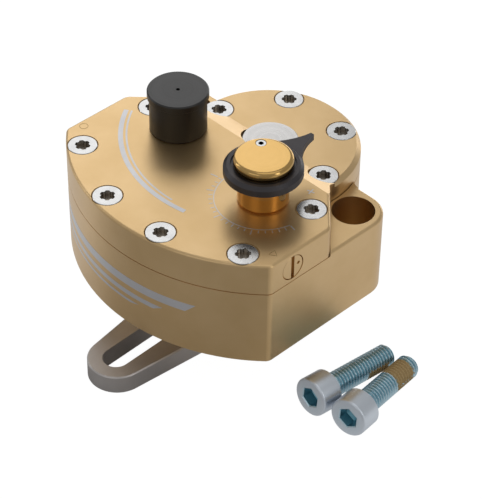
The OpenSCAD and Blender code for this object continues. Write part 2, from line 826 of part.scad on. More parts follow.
module housing_bores() {
    for (s = [-1, 1])
        translate([s * ear_x, 0, 0]) {
            translate([0, 0, -cut])
                cylinder(h = far, d = bolt_bore_d, $fn = 64);
            translate([0, 0, ear_z - head_bore_depth])
                cylinder(h = far, d = head_bore_d, $fn = 96);
        }
    for (p = screws)
        translate([p[0], p[1], p[2] - screw_len - screw_spare])
            cylinder(h = far, r = screw_d / 2 + thread_play, $fn = 48);
    for (p = dowels)
        translate([p[0], p[1], split_z - dowel_reach])
            cylinder(h = far, r = dowel_r, $fn = 48);
    // Lower bush, shaft seal and retaining ring
    translate([0, 0, seal_pocket_z])
        cylinder(h = far, r = bush_r, $fn = 96);
    translate([0, 0, -far])
        cylinder(h = far + seal_pocket_z, r = lower_seal_r, $fn = 96);
    translate([0, 0, clip_z])
        cylinder(h = clip_t, r = clip_groove_r, $fn = 96);
}

module cover_seal() {
    color(rubber)
    translate([0, 0, split_z - seal_depth])
        linear_extrude(seal_depth)
            difference() {
                chamber_plan(seal_land + seal_w);
                chamber_plan(seal_land);
            }
}

module cover_screw() {
    head_r = screw_head_d / 2;
    difference() {
        rotate_extrude($fn = 64)
            polygon([[0, 0], [head_r - screw_edge, 0], [head_r, -screw_edge], [head_r, -head_land],
                [screw_d / 2, screw_d / 2 - head_land - head_r], [screw_d / 2, screw_tip - screw_len],
                [screw_d / 2 - screw_tip, -screw_len], [0, -screw_len]]);
        translate([0, 0, -socket_depth])
            six_lobe_socket();
    }
}

module cover_screws() {
    color(steel)
    for (i = [0 : len(screws) - 1])
        translate(screws[i])
            rotate(i * 47)
                cover_screw();
}

module dowel_pins() {
    color(steel)
    for (p = dowels)
        translate([p[0], p[1], split_z - dowel_reach + dowel_play])
            cylinder(h = 2 * (dowel_reach - dowel_play), r = dowel_r, $fn = 48);
}

module bush(low, len) {
    translate([0, 0, low])
        difference() {
            cylinder(h = len, r = bush_r, $fn = 96);
            translate([0, 0, -cut])
                cylinder(h = len + 2 * cut, r = shaft_r + run_fit, $fn = 96);
        }
}

module upper_bush() {
    color(bronze)
    bush(split_z, upper_bush_len);
}

module lower_bush() {
    color(bronze)
    bush(seal_pocket_z, lower_bush_len);
}

module upper_shaft_seal() {
    color(rubber)
    translate([0, 0, upper_seal_z])
        o_ring(shaft_r + run_fit + upper_seal_wire / 2, upper_seal_wire);
}

// Lip seal: a ring of C section whose lip touches the shaft
module lower_shaft_seal() {
    color(rubber)
    rotate_extrude($fn = 96)
        polygon([[shaft_r + run_fit, seal_pocket_z - lip_play], [shaft_r + lip_rise, seal_pocket_z],
            [lower_seal_r, seal_pocket_z], [lower_seal_r, lower_seal_low],
            [shaft_r + lip_play, lower_seal_low], [shaft_r + lip_play, lower_seal_low + lip_rise],
            [shaft_r + lip_wall, lower_seal_low + lip_h], [shaft_r + lip_wall, seal_pocket_z - lip_h],
            [shaft_r + run_fit, seal_pocket_z - lip_play - 1.25 * lip_h]]);
}

module seal_circlip() {
    color(steel)
    translate([0, 0, clip_z])
        difference() {
            cylinder(h = clip_t, r = clip_groove_r, $fn = 96);
            translate([0, 0, -cut])
                cylinder(h = clip_t + 2 * cut, r = clip_in_r, $fn = 96);
            translate([-clip_gap_half, 0, -cut])
                cube([2 * clip_gap_half, far, clip_t + 2 * cut]);
            for (s = [-1, 1])
                rotate(s * clip_eye_deg + 90)
                    translate([shaft_r + clip_eye_in, 0, -cut])
                        cylinder(h = clip_t + 2 * cut, r = clip_eye_r, $fn = 24);
        }
}

module base_valve_collar() {
    color(dark_gold)
    translate([valve_x, valve_y, 0])
        difference() {
            rotate_extrude($fn = 120)
                polygon([[0, stem_z], [stem_d / 2, stem_z], [stem_d / 2, body_h],
                    [collar_d / 2 - collar_foot, body_h], [collar_d / 2, body_h + collar_foot],
                    [collar_d / 2, collar_top - collar_bevel], [collar_d / 2 - collar_bevel, collar_top],
                    [post_r, collar_top], [post_r, post_top], [0, post_top]]);
            translate([0, 0, needle_seat_z])
                cylinder(h = far, r = needle_bore_r, $fn = 48);
            translate([0, 0, stem_z - cut])
                cylinder(h = far, r = needle_seat_r, $fn = 48);
            // Side ports to the galleries
            rod([-stem_d, 0, stem_port_z], [stem_d, 0, stem_port_z], stem_port_r);
            // Track of the detent ball, with a deeper notch at each click
            translate([0, 0, ball_z])
                o_ring(ball_r, ball_d + ball_play);
            for (i = [0 : clicks - 1])
                rotate(i * 360 / clicks)
                    translate([ball_r, 0, ball_z - notch_sink])
                        sphere(d = ball_d + ball_play, $fn = 32);
        }
}

module collar_seal() {
    color(rubber)
    translate([valve_x, valve_y, body_h - o_wire / 2])
        o_ring(stem_d / 2 + o_wire / 2, o_wire);
}

module base_needle() {
    color(brass)
    translate([valve_x, valve_y, 0])
        rotate_extrude($fn = 48)
            polygon([[0, needle_low], [needle_tip_r, needle_low], [needle_d / 2, needle_low + needle_taper],
                [needle_d / 2, needle_top], [0, needle_top]]);
}

module base_knob() {
    color(gold)
    translate([valve_x, valve_y, 0])
        difference() {
            rotate_extrude($fn = 120) {
                polygon([[0, ring_low], [knob_spigot_r, ring_low], [knob_spigot_r, knob_low],
                    [knob_d / 2 - knob_neck, knob_low], [knob_d / 2 - knob_neck, knob_low + knob_neck],
                    [knob_d / 2, knob_low + knob_neck], [knob_d / 2, knob_top - knob_round],
                    [knob_d / 2 - knob_round, knob_top - knob_round],
                    [knob_d / 2 - knob_round, knob_top], [0, knob_top]]);
                translate([knob_d / 2 - knob_round, knob_top - knob_round])
                    circle(r = knob_round, $fn = 48);
            }
            translate([0, 0, ring_low - cut])
                cylinder(h = post_top + knob_gap - ring_low + cut, r = post_r + run_fit, $fn = 64);
            rotate(set_screw_deg)
                translate([set_screw_r, 0, knob_low + set_screw_floor]) {
                    cylinder(h = far, d = set_screw_d, $fn = 48);
                    translate([0, 0, set_screw_len + set_screw_sink - set_screw_mouth_h])
                        cylinder(h = far, r = set_screw_mouth_r, $fn = 48);
                }
            translate([ball_r, 0, ring_low - cut])
                cylinder(h = detent_bore + cut, d = ball_d + ball_play, $fn = 32);
        }
}

module detent_ball() {
    color(steel)
    translate([valve_x + ball_r, valve_y, ball_z])
        sphere(d = ball_d, $fn = 32);
}

// The tiny spring over the ball, drawn as the sleeve that its wire fills
module detent_spring() {
    low = ball_z + ball_d / 2 + detent_spring_play;
    color(steel)
    translate([valve_x + ball_r, valve_y, low])
        difference() {
            cylinder(h = ring_low + detent_bore - low, d = ball_d - ball_play, $fn = 32);
            translate([0, 0, -cut])
                cylinder(h = detent_bore, d = ball_d - ball_play - 2 * detent_wire, $fn = 32);
        }
}

// Ring with a tapering pointer whose hollow flanks leave it on tangents
module pointer_ring() {
    color(black)
    translate([valve_x, valve_y, 0])
        difference() {
            union() {
                rotate_extrude($fn = 120)
                    polygon([[knob_spigot_r, ring_low], [ring_d / 2, ring_low],
                        [ring_d / 2, ring_top - ring_bevel], [ring_d / 2 - ring_bevel, ring_top],
                        [knob_spigot_r, ring_top]]);
                rotate(pointer_deg)
                    translate([0, 0, ring_low])
                        linear_extrude(ring_t - ring_bevel)
                            pointer_plan();
            }
            translate([0, 0, knob_low])
                cylinder(h = far, r = knob_d / 2 + ring_recess_gap, $fn = 120);
        }
}

// Centre of a circle of radius r that touches the ring and passes the pointer's tip
function flank_centre(side, r) =
    let (d = ring_d / 2 + r,
        t = norm([pointer_tip_w / 2, pointer_r]),
        a = atan(pointer_tip_w / 2 / pointer_r) + acos((d * d + t * t - r * r) / (2 * d * t)))
    d * [side * sin(a), cos(a)];

module pointer_plan() {
    left = flank_centre(-1, pointer_left_r);
    right = flank_centre(1, pointer_right_r);
    inner = ring_d / 2 - ring_bevel;
    difference() {
        polygon([inner * left / norm(left), left, [-pointer_tip_w / 2, pointer_r],
            [pointer_tip_w / 2, pointer_r], right, inner * right / norm(right)]);
        translate(left)
            circle(r = pointer_left_r, $fn = 160);
        translate(right)
            circle(r = pointer_right_r, $fn = 160);
    }
}

module knob_set_screw() {
    color(steel)
    translate([valve_x, valve_y, 0])
        rotate(set_screw_deg)
            translate([set_screw_r, 0, 0])
                difference() {
                    translate([0, 0, knob_low + set_screw_floor])
                        cylinder(h = set_screw_len, d = set_screw_d, $fn = 48);
                    translate([0, 0, knob_top - set_screw_sink - set_screw_socket_depth])
                        hex_socket(set_screw_socket, set_screw_socket_depth + cut);
                }
}

// Sweep valve along +X: slotted face, dot, ring groove and a notch that meters the oil
module sweep_valve() {
    r = sweep_d / 2;
    translate([sweep_face, sweep_y, sweep_z])
        rotate([0, -90, 0])
            difference() {
                rotate_extrude($fn = 64)
                    polygon([[0, 0], [r - sweep_bevel, 0], [r, sweep_bevel], [r, sweep_len],
                        [0, sweep_len]]);
                translate([-far / 2, -sweep_slot_w / 2, -cut])
                    cube([far, sweep_slot_w, sweep_slot_depth + cut]);
                translate([r * 0.12, r * 0.55, -cut])
                    cylinder(h = cut + sweep_dot_depth, d = sweep_dot_d, $fn = 24);
                translate([0, 0, sweep_len / 2])
                    stem_groove(r, o_wire);
                translate([-far / 2, sweep_flat_out, sweep_len - sweep_flat])
                    cube([far, far, sweep_flat + cut]);
            }
}

module right_sweep_valve() {
    color(gold)
    sweep_valve();
}

module left_sweep_valve() {
    color(gold)
    mirror([1, 0, 0])
        sweep_valve();
}

module sweep_seal() {
    r = sweep_d / 2;
    translate([sweep_face - sweep_len / 2, sweep_y, sweep_z])
        rotate([0, 90, 0])
            difference() {
                cylinder(h = o_wire - ring_play, r = r, center = true, $fn = 64);
                cylinder(h = o_wire + cut, r = r - o_wire * groove_share, center = true, $fn = 64);
            }
}

module right_sweep_seal() {
    color(rubber)
    sweep_seal();
}

module left_sweep_seal() {
    color(rubber)
    mirror([1, 0, 0])
        sweep_seal();
}

module reservoir_tube() {
    color(black)
    translate([res_x, res_y, 0])
        difference() {
            rotate_extrude($fn = 120)
                polygon([[0, res_low], [thread_r, res_low], [thread_r, body_h], [res_r - res_foot, body_h],
                    [res_r, body_h + res_foot], [res_r, tube_top], [0, tube_top]]);
            translate([0, 0, res_low - cut])
                cylinder(h = far, r = tube_bore_r, $fn = 96);
            // Notch for the feed from the base valve
            rod([valve_x - res_x, valve_y - res_y, sweep_z], [0, 0, res_low + feed_rise], feed_r);
        }
}

module reservoir_seal() {
    color(rubber)
    translate([res_x, res_y, res_seal_z])
        o_ring(thread_r + res_seal_wire / 2, res_seal_wire);
}

module reservoir_cap() {
    color(black)
    translate([res_x, res_y, 0])
        difference() {
            rotate_extrude($fn = 120)
                polygon([[0, plug_low], [tube_bore_r, plug_low], [tube_bore_r, tube_top],
                    [cap_d / 2 - cap_foot, tube_top], [cap_d / 2, tube_top + cap_foot],
                    [cap_d / 2, res_top - cap_bevel], [cap_d / 2 - cap_bevel, res_top], [0, res_top]]);
            translate([0, 0, plug_low - cut])
                cylinder(h = far, d = vent_d, $fn = 32);
        }
}

module reservoir_piston() {
    color(brass)
    translate([res_x, res_y, 0])
        difference() {
            rotate_extrude($fn = 96)
                polygon([[0, piston_low], [piston_r, piston_low], [piston_r, piston_top],
                    [piston_r - dish_rim, piston_top],
                    [piston_r - dish_rim - dish_slope, piston_top - dish_depth],
                    [0, piston_top - dish_depth]]);
            translate([0, 0, piston_low + piston_h / 2])
                stem_groove(piston_r, o_wire);
        }
}

module piston_seal() {
    color(rubber)
    translate([res_x, res_y, piston_low + piston_h / 2])
        difference() {
            cylinder(h = o_wire - ring_play, r = piston_r, center = true, $fn = 96);
            cylinder(h = o_wire + cut, r = piston_r - o_wire * groove_share, center = true, $fn = 96);
        }
}

function helix_point(t) = [
    spring_mid_r * cos(t * 360),
    spring_mid_r * sin(t * 360),
    spring_low + spring_wire / 2 + t / spring_turns * (spring_h - spring_wire)];

spring_points = [for (i = [0 : spring_turns * spring_steps]) helix_point(i / spring_steps)];

// Ring of wire round one point of the helix, square to its direction
function wire_ring(i) =
    let (a = i / spring_steps * 360,
        out = [cos(a), sin(a), 0],
        slope = atan((spring_h - spring_wire) / spring_turns / (2 * PI * spring_mid_r)),
        up = [sin(a) * sin(slope), -cos(a) * sin(slope), cos(slope)])
    [for (k = [0 : spring_sides - 1])
        spring_points[i] + spring_wire / 2
            * (cos(k * 360 / spring_sides) * out + sin(k * 360 / spring_sides) * up)];

// Least distance between turns, measured on the helix's own points
spring_gap = min([for (i = [0 : spring_steps : (spring_turns - 1) * spring_steps])
    for (j = [i + spring_steps / 2 : min(i + 2 * spring_steps, spring_turns * spring_steps)])
        norm(spring_points[j] - spring_points[i])]) - spring_wire;

module reservoir_spring() {
    n = spring_sides;
    last = len(spring_points) - 1;
    echo(spring_gap = spring_gap);
    color(steel)
    translate([res_x, res_y, 0])
        polyhedron(
            points = [for (i = [0 : last]) each wire_ring(i)],
            faces = concat(
                [[for (k = [0 : n - 1]) k]],
                [[for (k = [n - 1 : -1 : 0]) last * n + k]],
                [for (i = [0 : last - 1]) for (k = [0 : n - 1])
                    [i * n + k, (i + 1) * n + k, i * n + (k + 1) % n]],
                [for (i = [0 : last - 1]) for (k = [0 : n - 1])
                    [i * n + (k + 1) % n, (i + 1) * n + k, (i + 1) * n + (k + 1) % n]]));
}

// Outline of the splined shaft end, grown by a clearance
module spline_plan(grow = 0) {
    pitch = 360 / splines;
    root = spline_d / 2 - spline_h + grow;
    tip = spline_d / 2 + grow;
    polygon([for (i = [0 : splines - 1])
        for (p = [[root, -0.34], [tip, -0.14], [tip, 0.14], [root, 0.34]])
            p[0] * [cos((i + p[1]) * pitch), sin((i + p[1]) * pitch)]]);
}

module shaft() {
    color(steel)
    rotate(arm_deg)
        difference() {
            union() {
                rotate_extrude($fn = 120)
                    polygon([[0, -boss_h], [shaft_r - shaft_bevel, -boss_h],
                        [shaft_r, shaft_bevel - boss_h], [shaft_r, rotor_low], [hub_r, rotor_low],
                        [hub_r, rotor_top], [shaft_r, rotor_top],
                        [shaft_r, shaft_top - shaft_top_bevel], [shaft_r - shaft_top_bevel, shaft_top],
                        [0, shaft_top]]);
                translate([0, 0, shaft_end])
                    linear_extrude(-boss_h - shaft_end + cut)
                        spline_plan();
            }
            translate([0, 0, shaft_end - cut])
                cylinder(h = cut + centre_depth, d1 = centre_d, d2 = centre_tip_d, $fn = 48);
            // Slot for the tongue of the vane and the two screws through the hub
            translate([-tongue_w / 2, -far - tongue_in, rotor_low - cut])
                cube([tongue_w, far, rotor_top - rotor_low + 2 * cut]);
            for (z = vane_screw_z) {
                rod([0, -hub_r, z], [0, hub_r + cut, z], vane_screw_d / 2);
                rod([0, vane_screw_seat, z], [0, hub_r + cut, z], vane_screw_head_r + vane_screw_play);
            }
        }
}

module vane() {
    color(steel)
    rotate(arm_deg)
        difference() {
            translate([0, 0, rotor_low]) {
                linear_extrude(rotor_top - rotor_low)
                    difference() {
                        intersection() {
                            circle(r = vane_r, $fn = 160);
                            translate([-vane_w / 2, -far])
                                square([vane_w, far]);
                        }
                        circle(r = hub_r, $fn = 96);
                    }
                translate([-tongue_w / 2, -hub_r - tongue_root, 0])
                    cube([tongue_w, hub_r + tongue_root - tongue_in, rotor_top - rotor_low]);
            }
            vane_seal_body(0);
            for (z = vane_screw_z)
                rod([0, vane_screw_end, z], [0, 0, z], vane_screw_d / 2);
        }
}

// Strip round three edges of the vane, grown outwards by reach
module vane_seal_body(reach) {
    low = rotor_low - reach;
    top = rotor_top + reach;
    intersection() {
        difference() {
            translate([-vane_seal_w / 2, -far, low])
                cube([vane_seal_w, far - hub_r - 0.5, top - low]);
            translate([-far / 2, -vane_r + vane_seal_depth, rotor_low + vane_seal_depth])
                cube([far, far, rotor_top - rotor_low - 2 * vane_seal_depth]);
        }
        cylinder(h = far, r = vane_r + reach, $fn = 160);
    }
}

module vane_seal() {
    color(rubber)
    rotate(arm_deg)
        vane_seal_body(vane_seal_reach);
}

module vane_screws() {
    color(steel)
    rotate(arm_deg)
        for (z = vane_screw_z)
            translate([0, vane_screw_seat, z])
                rotate([90, 0, 0])
                    difference() {
                        rotate_extrude($fn = 48)
                            polygon([[0, -vane_screw_d], [vane_screw_head_r, -vane_screw_d],
                                [vane_screw_head_r, 0], [vane_screw_d / 2, 0],
                                [vane_screw_d / 2, vane_screw_len], [0, vane_screw_len]]);
                        translate([0, 0, -vane_screw_d - cut])
                            hex_socket(vane_screw_d * 3 / 4, vane_screw_d / 2 + cut);
                    }
}

module link_arm() {
    color(grey)
    rotate(arm_deg)
        difference() {
            union() {
                // Two sides that touch both rounds, closed by a round at each end
                intersection() {
                    arm_side(-arm_taper);
                    arm_side(180 + arm_taper);
                    arm_round(arm_end_r, -arm_len, 0);
                    arm_round(arm_hub_r, 0, -far);
                }
                edge_disc(arm_rise_r, arm_low + 1, arm_hub_top, 0, arm_bevel, arm_bevel);
            }
            arm_slot();
            translate([0, 0, arm_low - cut])
                linear_extrude(far)
                    spline_plan(run_fit);
            // Clamping slit, and the flat and hole of its screw
            translate([-slit_w / 2, 0, arm_low - cut])
                cube([slit_w, far, far]);
            translate([pinch_seat, pinch_y - pinch_head_r - pinch_bevel, arm_low - cut])
                cube([far, far, far]);
            rod([-far, pinch_y, pinch_z], [far, pinch_y, pinch_z], pinch_r);
        }
}

// Half-space behind one side of the arm
module arm_side(deg) {
    wall_slab(arm_hub_r - tangent_step, deg, arm_low, arm_top, 0, arm_bevel, arm_bevel);
}

// Round at one end of the arm, with everything from its tangent points towards the other end
module arm_round(r, y, reach) {
    translate([0, y, 0])
        rotate_extrude($fn = 180)
            polygon([[0, arm_low - cut], [r - arm_bevel - cut, arm_low - cut], [r, arm_low + arm_bevel],
                [r, arm_top - arm_bevel], [r - arm_bevel - cut, arm_top + cut], [0, arm_top + cut]]);
    translate([-far / 2, y - r * sin(arm_taper) + reach, arm_low - 2 * cut])
        cube([far, far, arm_t + 4 * cut]);
}

module arm_slot() {
    for (y = [-slot_in, -slot_out])
        translate([0, y, arm_low - cut])
            cylinder(h = arm_t + 2 * cut, d = slot_w, $fn = 96);
    translate([tangent_step - slot_w / 2, -slot_out, arm_low - cut])
        cube([slot_w - 2 * tangent_step, slot_out - slot_in, arm_t + 2 * cut]);
}

module pinch_screw() {
    color(steel)
    rotate(arm_deg)
        translate([pinch_seat, pinch_y, pinch_z])
            rotate([0, -90, 0])
                difference() {
                    rotate_extrude($fn = 48)
                        polygon([[0, -pinch_head_h], [pinch_head_r - pinch_bevel, -pinch_head_h],
                            [pinch_head_r, pinch_bevel - pinch_head_h], [pinch_head_r, 0], [pinch_r, 0],
                            [pinch_r, pinch_len - pinch_bevel], [pinch_r - pinch_bevel, pinch_len],
                            [0, pinch_len]]);
                    translate([0, 0, -pinch_head_h - cut])
                        hex_socket(pinch_socket, pinch_socket_depth + cut);
                }
}

module mounting_bolt() {
    head_r = bolt_head_d / 2;
    shank_r = bolt_d / 2;
    length = bolt_head_h + bolt_len;
    difference() {
        rotate_extrude($fn = 96)
            polygon([[0, 0], [head_r - bolt_bevel, 0], [head_r - bolt_soft, bolt_soft],
                [head_r, bolt_bevel], [head_r, bolt_head_h], [shank_r, bolt_head_h],
                [shank_r, length - bolt_tip],
                [shank_r - bolt_tip, length], [0, length]]);
        translate([0, 0, -cut])
            hex_socket(bolt_socket, bolt_socket_depth + cut);
    }
}

// The two mounting bolts as supplied, lying beside the damper
module mounting_bolts() {
    color(zinc)
    for (b = bolt_places)
        translate([b[0][0], b[0][1], arm_low + bolt_rise])
            rotate([0, 90 + bolt_tilt, b[1]])
                mounting_bolt();
}

housing();
cover();
cover_seal();
cover_screws();
dowel_pins();
upper_bush();
lower_bush();
upper_shaft_seal();
lower_shaft_seal();
seal_circlip();
base_valve_collar();
collar_seal();
base_needle();
base_knob();
pointer_ring();
knob_set_screw();
detent_ball();
detent_spring();
right_sweep_valve();
left_sweep_valve();
right_sweep_seal();
left_sweep_seal();
reservoir_tube();
reservoir_seal();
reservoir_cap();
reservoir_piston();
piston_seal();
reservoir_spring();
shaft();
vane();
vane_seal();
vane_screws();
link_arm();
pinch_screw();
mounting_bolts();
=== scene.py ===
"""Looks of a motorcycle steering damper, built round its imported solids.

The solids keep their shape and get procedural finishes: satin gold anodising, turned and polished
metal, black anodising, zinc and rubber. New pieces are the two loose bolts with real threads, the
reservoir's coiled spring and the etched marks on the cover and the nose wall. A pale floor, soft
lamps and the photograph's camera complete the scene.
"""

import json
import logging
import math
from dataclasses import dataclass, field
from enum import Enum
from typing import Callable

import bpy
import numpy as np
from mathutils import Matrix, Vector

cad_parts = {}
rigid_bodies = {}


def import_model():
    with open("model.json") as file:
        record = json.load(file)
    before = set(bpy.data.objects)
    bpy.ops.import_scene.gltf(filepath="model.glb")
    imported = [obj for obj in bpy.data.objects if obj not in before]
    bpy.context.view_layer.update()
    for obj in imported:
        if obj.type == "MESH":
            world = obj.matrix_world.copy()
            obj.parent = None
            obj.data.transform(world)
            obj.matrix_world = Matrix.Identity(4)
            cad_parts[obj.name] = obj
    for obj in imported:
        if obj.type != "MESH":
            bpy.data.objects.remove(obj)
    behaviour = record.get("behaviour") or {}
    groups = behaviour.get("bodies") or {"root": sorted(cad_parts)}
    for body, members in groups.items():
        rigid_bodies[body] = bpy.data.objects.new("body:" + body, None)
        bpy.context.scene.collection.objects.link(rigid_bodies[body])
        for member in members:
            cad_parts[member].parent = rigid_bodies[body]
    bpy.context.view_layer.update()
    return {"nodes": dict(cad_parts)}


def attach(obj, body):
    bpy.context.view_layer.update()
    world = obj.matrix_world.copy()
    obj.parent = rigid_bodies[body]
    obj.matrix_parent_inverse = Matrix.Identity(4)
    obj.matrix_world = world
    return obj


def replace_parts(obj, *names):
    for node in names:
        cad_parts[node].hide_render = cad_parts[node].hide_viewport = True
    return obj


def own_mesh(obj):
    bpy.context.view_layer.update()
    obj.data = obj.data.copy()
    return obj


LOG = logging.getLogger("steering_damper")
MM = 0.001

Colour = tuple[float, float, float]
Point = tuple[float, float, float]
Range = tuple[float, float]
Socket = bpy.types.NodeSocket
Surface = Callable[[np.ndarray, np.ndarray, float], np.ndarray]

ORIGIN: Point = (0.0, 0.0, 0.0)
VALVE_AXIS: Point = (0.0221, -0.0253, 0.0)
RESERVOIR_AXIS: Point = (-0.0227, -0.0195, 0.0)
UNIT: Range = (0.0, 1.0)
CLOUD_EDGES: Range = (0.35, 0.65)
RELIEF_EDGES: Range = (0.3, 0.7)
NOISE_ROUGHNESS = 0.6


class Body(Enum):
    """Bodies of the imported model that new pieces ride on."""

    DAMPER = "damper_body"


class Slot(Enum):
    """Material slots of the record that new pieces take their finish from."""

    BOLT = "bolt_zinc"
    SPRING = "spring_steel"


class Cast(Enum):
    """Values that a bolt's mesh holds at each point, for its finish."""

    HOLLOW = "hollow"
    PATCH = "patch"


class Grain(Enum):
    """How a metal surface was worked. The value names the group of its fine relief."""

    BLASTED = "blasted_grain"
    TURNED = "turned_rings"
    MILLED = "milled_lines"


class Graph:
    """Thin wrapper round a node tree that adds and links nodes in single lines."""

    def __init__(self, tree: bpy.types.NodeTree) -> None:
        """Keeps the tree and empties it."""
        self.tree = tree
        tree.nodes.clear()

    def add(self, kind: str, **settings: object) -> bpy.types.Node:
        """Adds a node.

        Args:
            kind: the node's type without its ShaderNode prefix, or a full name for a group's ends.
            settings: properties of the node to set.

        Returns:
            The new node.
        """
        name = kind if kind.startswith("NodeGroup") else f"ShaderNode{kind}"
        node = self.tree.nodes.new(name)
        for key, value in settings.items():
            setattr(node, key, value)
        return node

    def join(self, source: Socket, target: Socket) -> None:
        """Links an output to an input."""
        self.tree.links.new(source, target)

    def feed(self, value: object, socket: Socket) -> None:
        """Links a value to an input if it is an output, and otherwise sets it there.

        Args:
            value: an output, a number or a vector.
            socket: the input.
        """
        if isinstance(value, Socket):
            self.join(value, socket)
        else:
            socket.default_value = value

    def maths(self, operation: str, *values: object) -> Socket:
        """Adds a Math node.

        Args:
            operation: what the node does with its inputs.
            values: numbers or outputs for the inputs.

        Returns:
            The result.
        """
        node = self.add("Math", operation=operation)
        for socket, value in zip(node.inputs, values):
            self.feed(value, socket)
        return node.outputs[0]

    def ramp(self, value: Socket, span: Range, result: Range) -> Socket:
        """Maps a value from one range to another in a straight line, held at the ends.

        Args:
            value: the output that is mapped.
            span: the range it is read over.
            result: what the two ends of span become.

        Returns:
            The mapped value.
        """
        node = self.add("MapRange")
        self.join(value, node.inputs["Value"])
        for key, number in zip(("From Min", "From Max", "To Min", "To Max"), (*span, *result)):
            node.inputs[key].default_value = number
        return node.outputs["Result"]

    def blend(self, factor: Socket, first: Socket | Colour, second: Socket | Colour) -> Socket:
        """Mixes two colours.

        Args:
            factor: the share of the second colour.
            first: a colour or an output.
            second: a colour or an output.

        Returns:
            The mixed colour.
        """
        node = self.add("Mix", data_type="RGBA")
        self.feed(factor, node.inputs["Factor"])
        for name, value in (("A", first), ("B", second)):
            socket = next(s for s in node.inputs if s.name == name and s.type == "RGBA")
            self.feed((*value, 1.0) if isinstance(value, tuple) else value, socket)
        return next(s for s in node.outputs if s.type == "RGBA")

    def noise(self, vector: Socket, scale: Socket, detail: float) -> Socket:
        """Adds a fractal noise, read at a vector times a scale.

        Args:
            vector: where it is read.
            scale: features in a metre.
            detail: number of finer layers.

        Returns:
            The noise's value, about 0.5 on average.
        """
        node = self.add("TexNoise")
        self.join(vector, node.inputs["Vector"])
        self.join(scale, node.inputs["Scale"])
        node.inputs["Detail"].default_value = detail
        node.inputs["Roughness"].default_value = NOISE_ROUGHNESS
        return node.outputs[0]

    def split(self, vector: Socket) -> tuple[Socket, ...]:
        """Splits a vector.

        Args:
            vector: an output.

        Returns:
            Its three coordinates.
        """
        node = self.add("SeparateXYZ")
        self.join(vector, node.inputs[0])
        return tuple(node.outputs)

    def close(self, kind: str, surface: Socket) -> None:
        """Links a shader to a new output node of the given kind."""
        self.join(surface, self.add(kind).inputs["Surface"])


class GroupGraph(Graph):
    """Tree of a new shader node group, with its two ends in place."""

    def __init__(self, name: str, inputs: dict[str, object], outputs: tuple[str, ...]) -> None:
        """Makes the group and its named sockets.

        Args:
            name: the group's name.
            inputs: each input's name and its default, a number or a 3-vector.
            outputs: the names of the outputs, all numbers.
        """
        super().__init__(bpy.data.node_groups.new(name, "ShaderNodeTree"))
        sockets = self.tree.interface
        for key, default in inputs.items():
            kind = "NodeSocketVector" if isinstance(default, tuple) else "NodeSocketFloat"
            sockets.new_socket(key, in_out="INPUT", socket_type=kind).default_value = default
        for key in outputs:
            sockets.new_socket(key, in_out="OUTPUT", socket_type="NodeSocketFloat")
        self.given = self.add("NodeGroupInput").outputs
        self.result = self.add("NodeGroupOutput").inputs


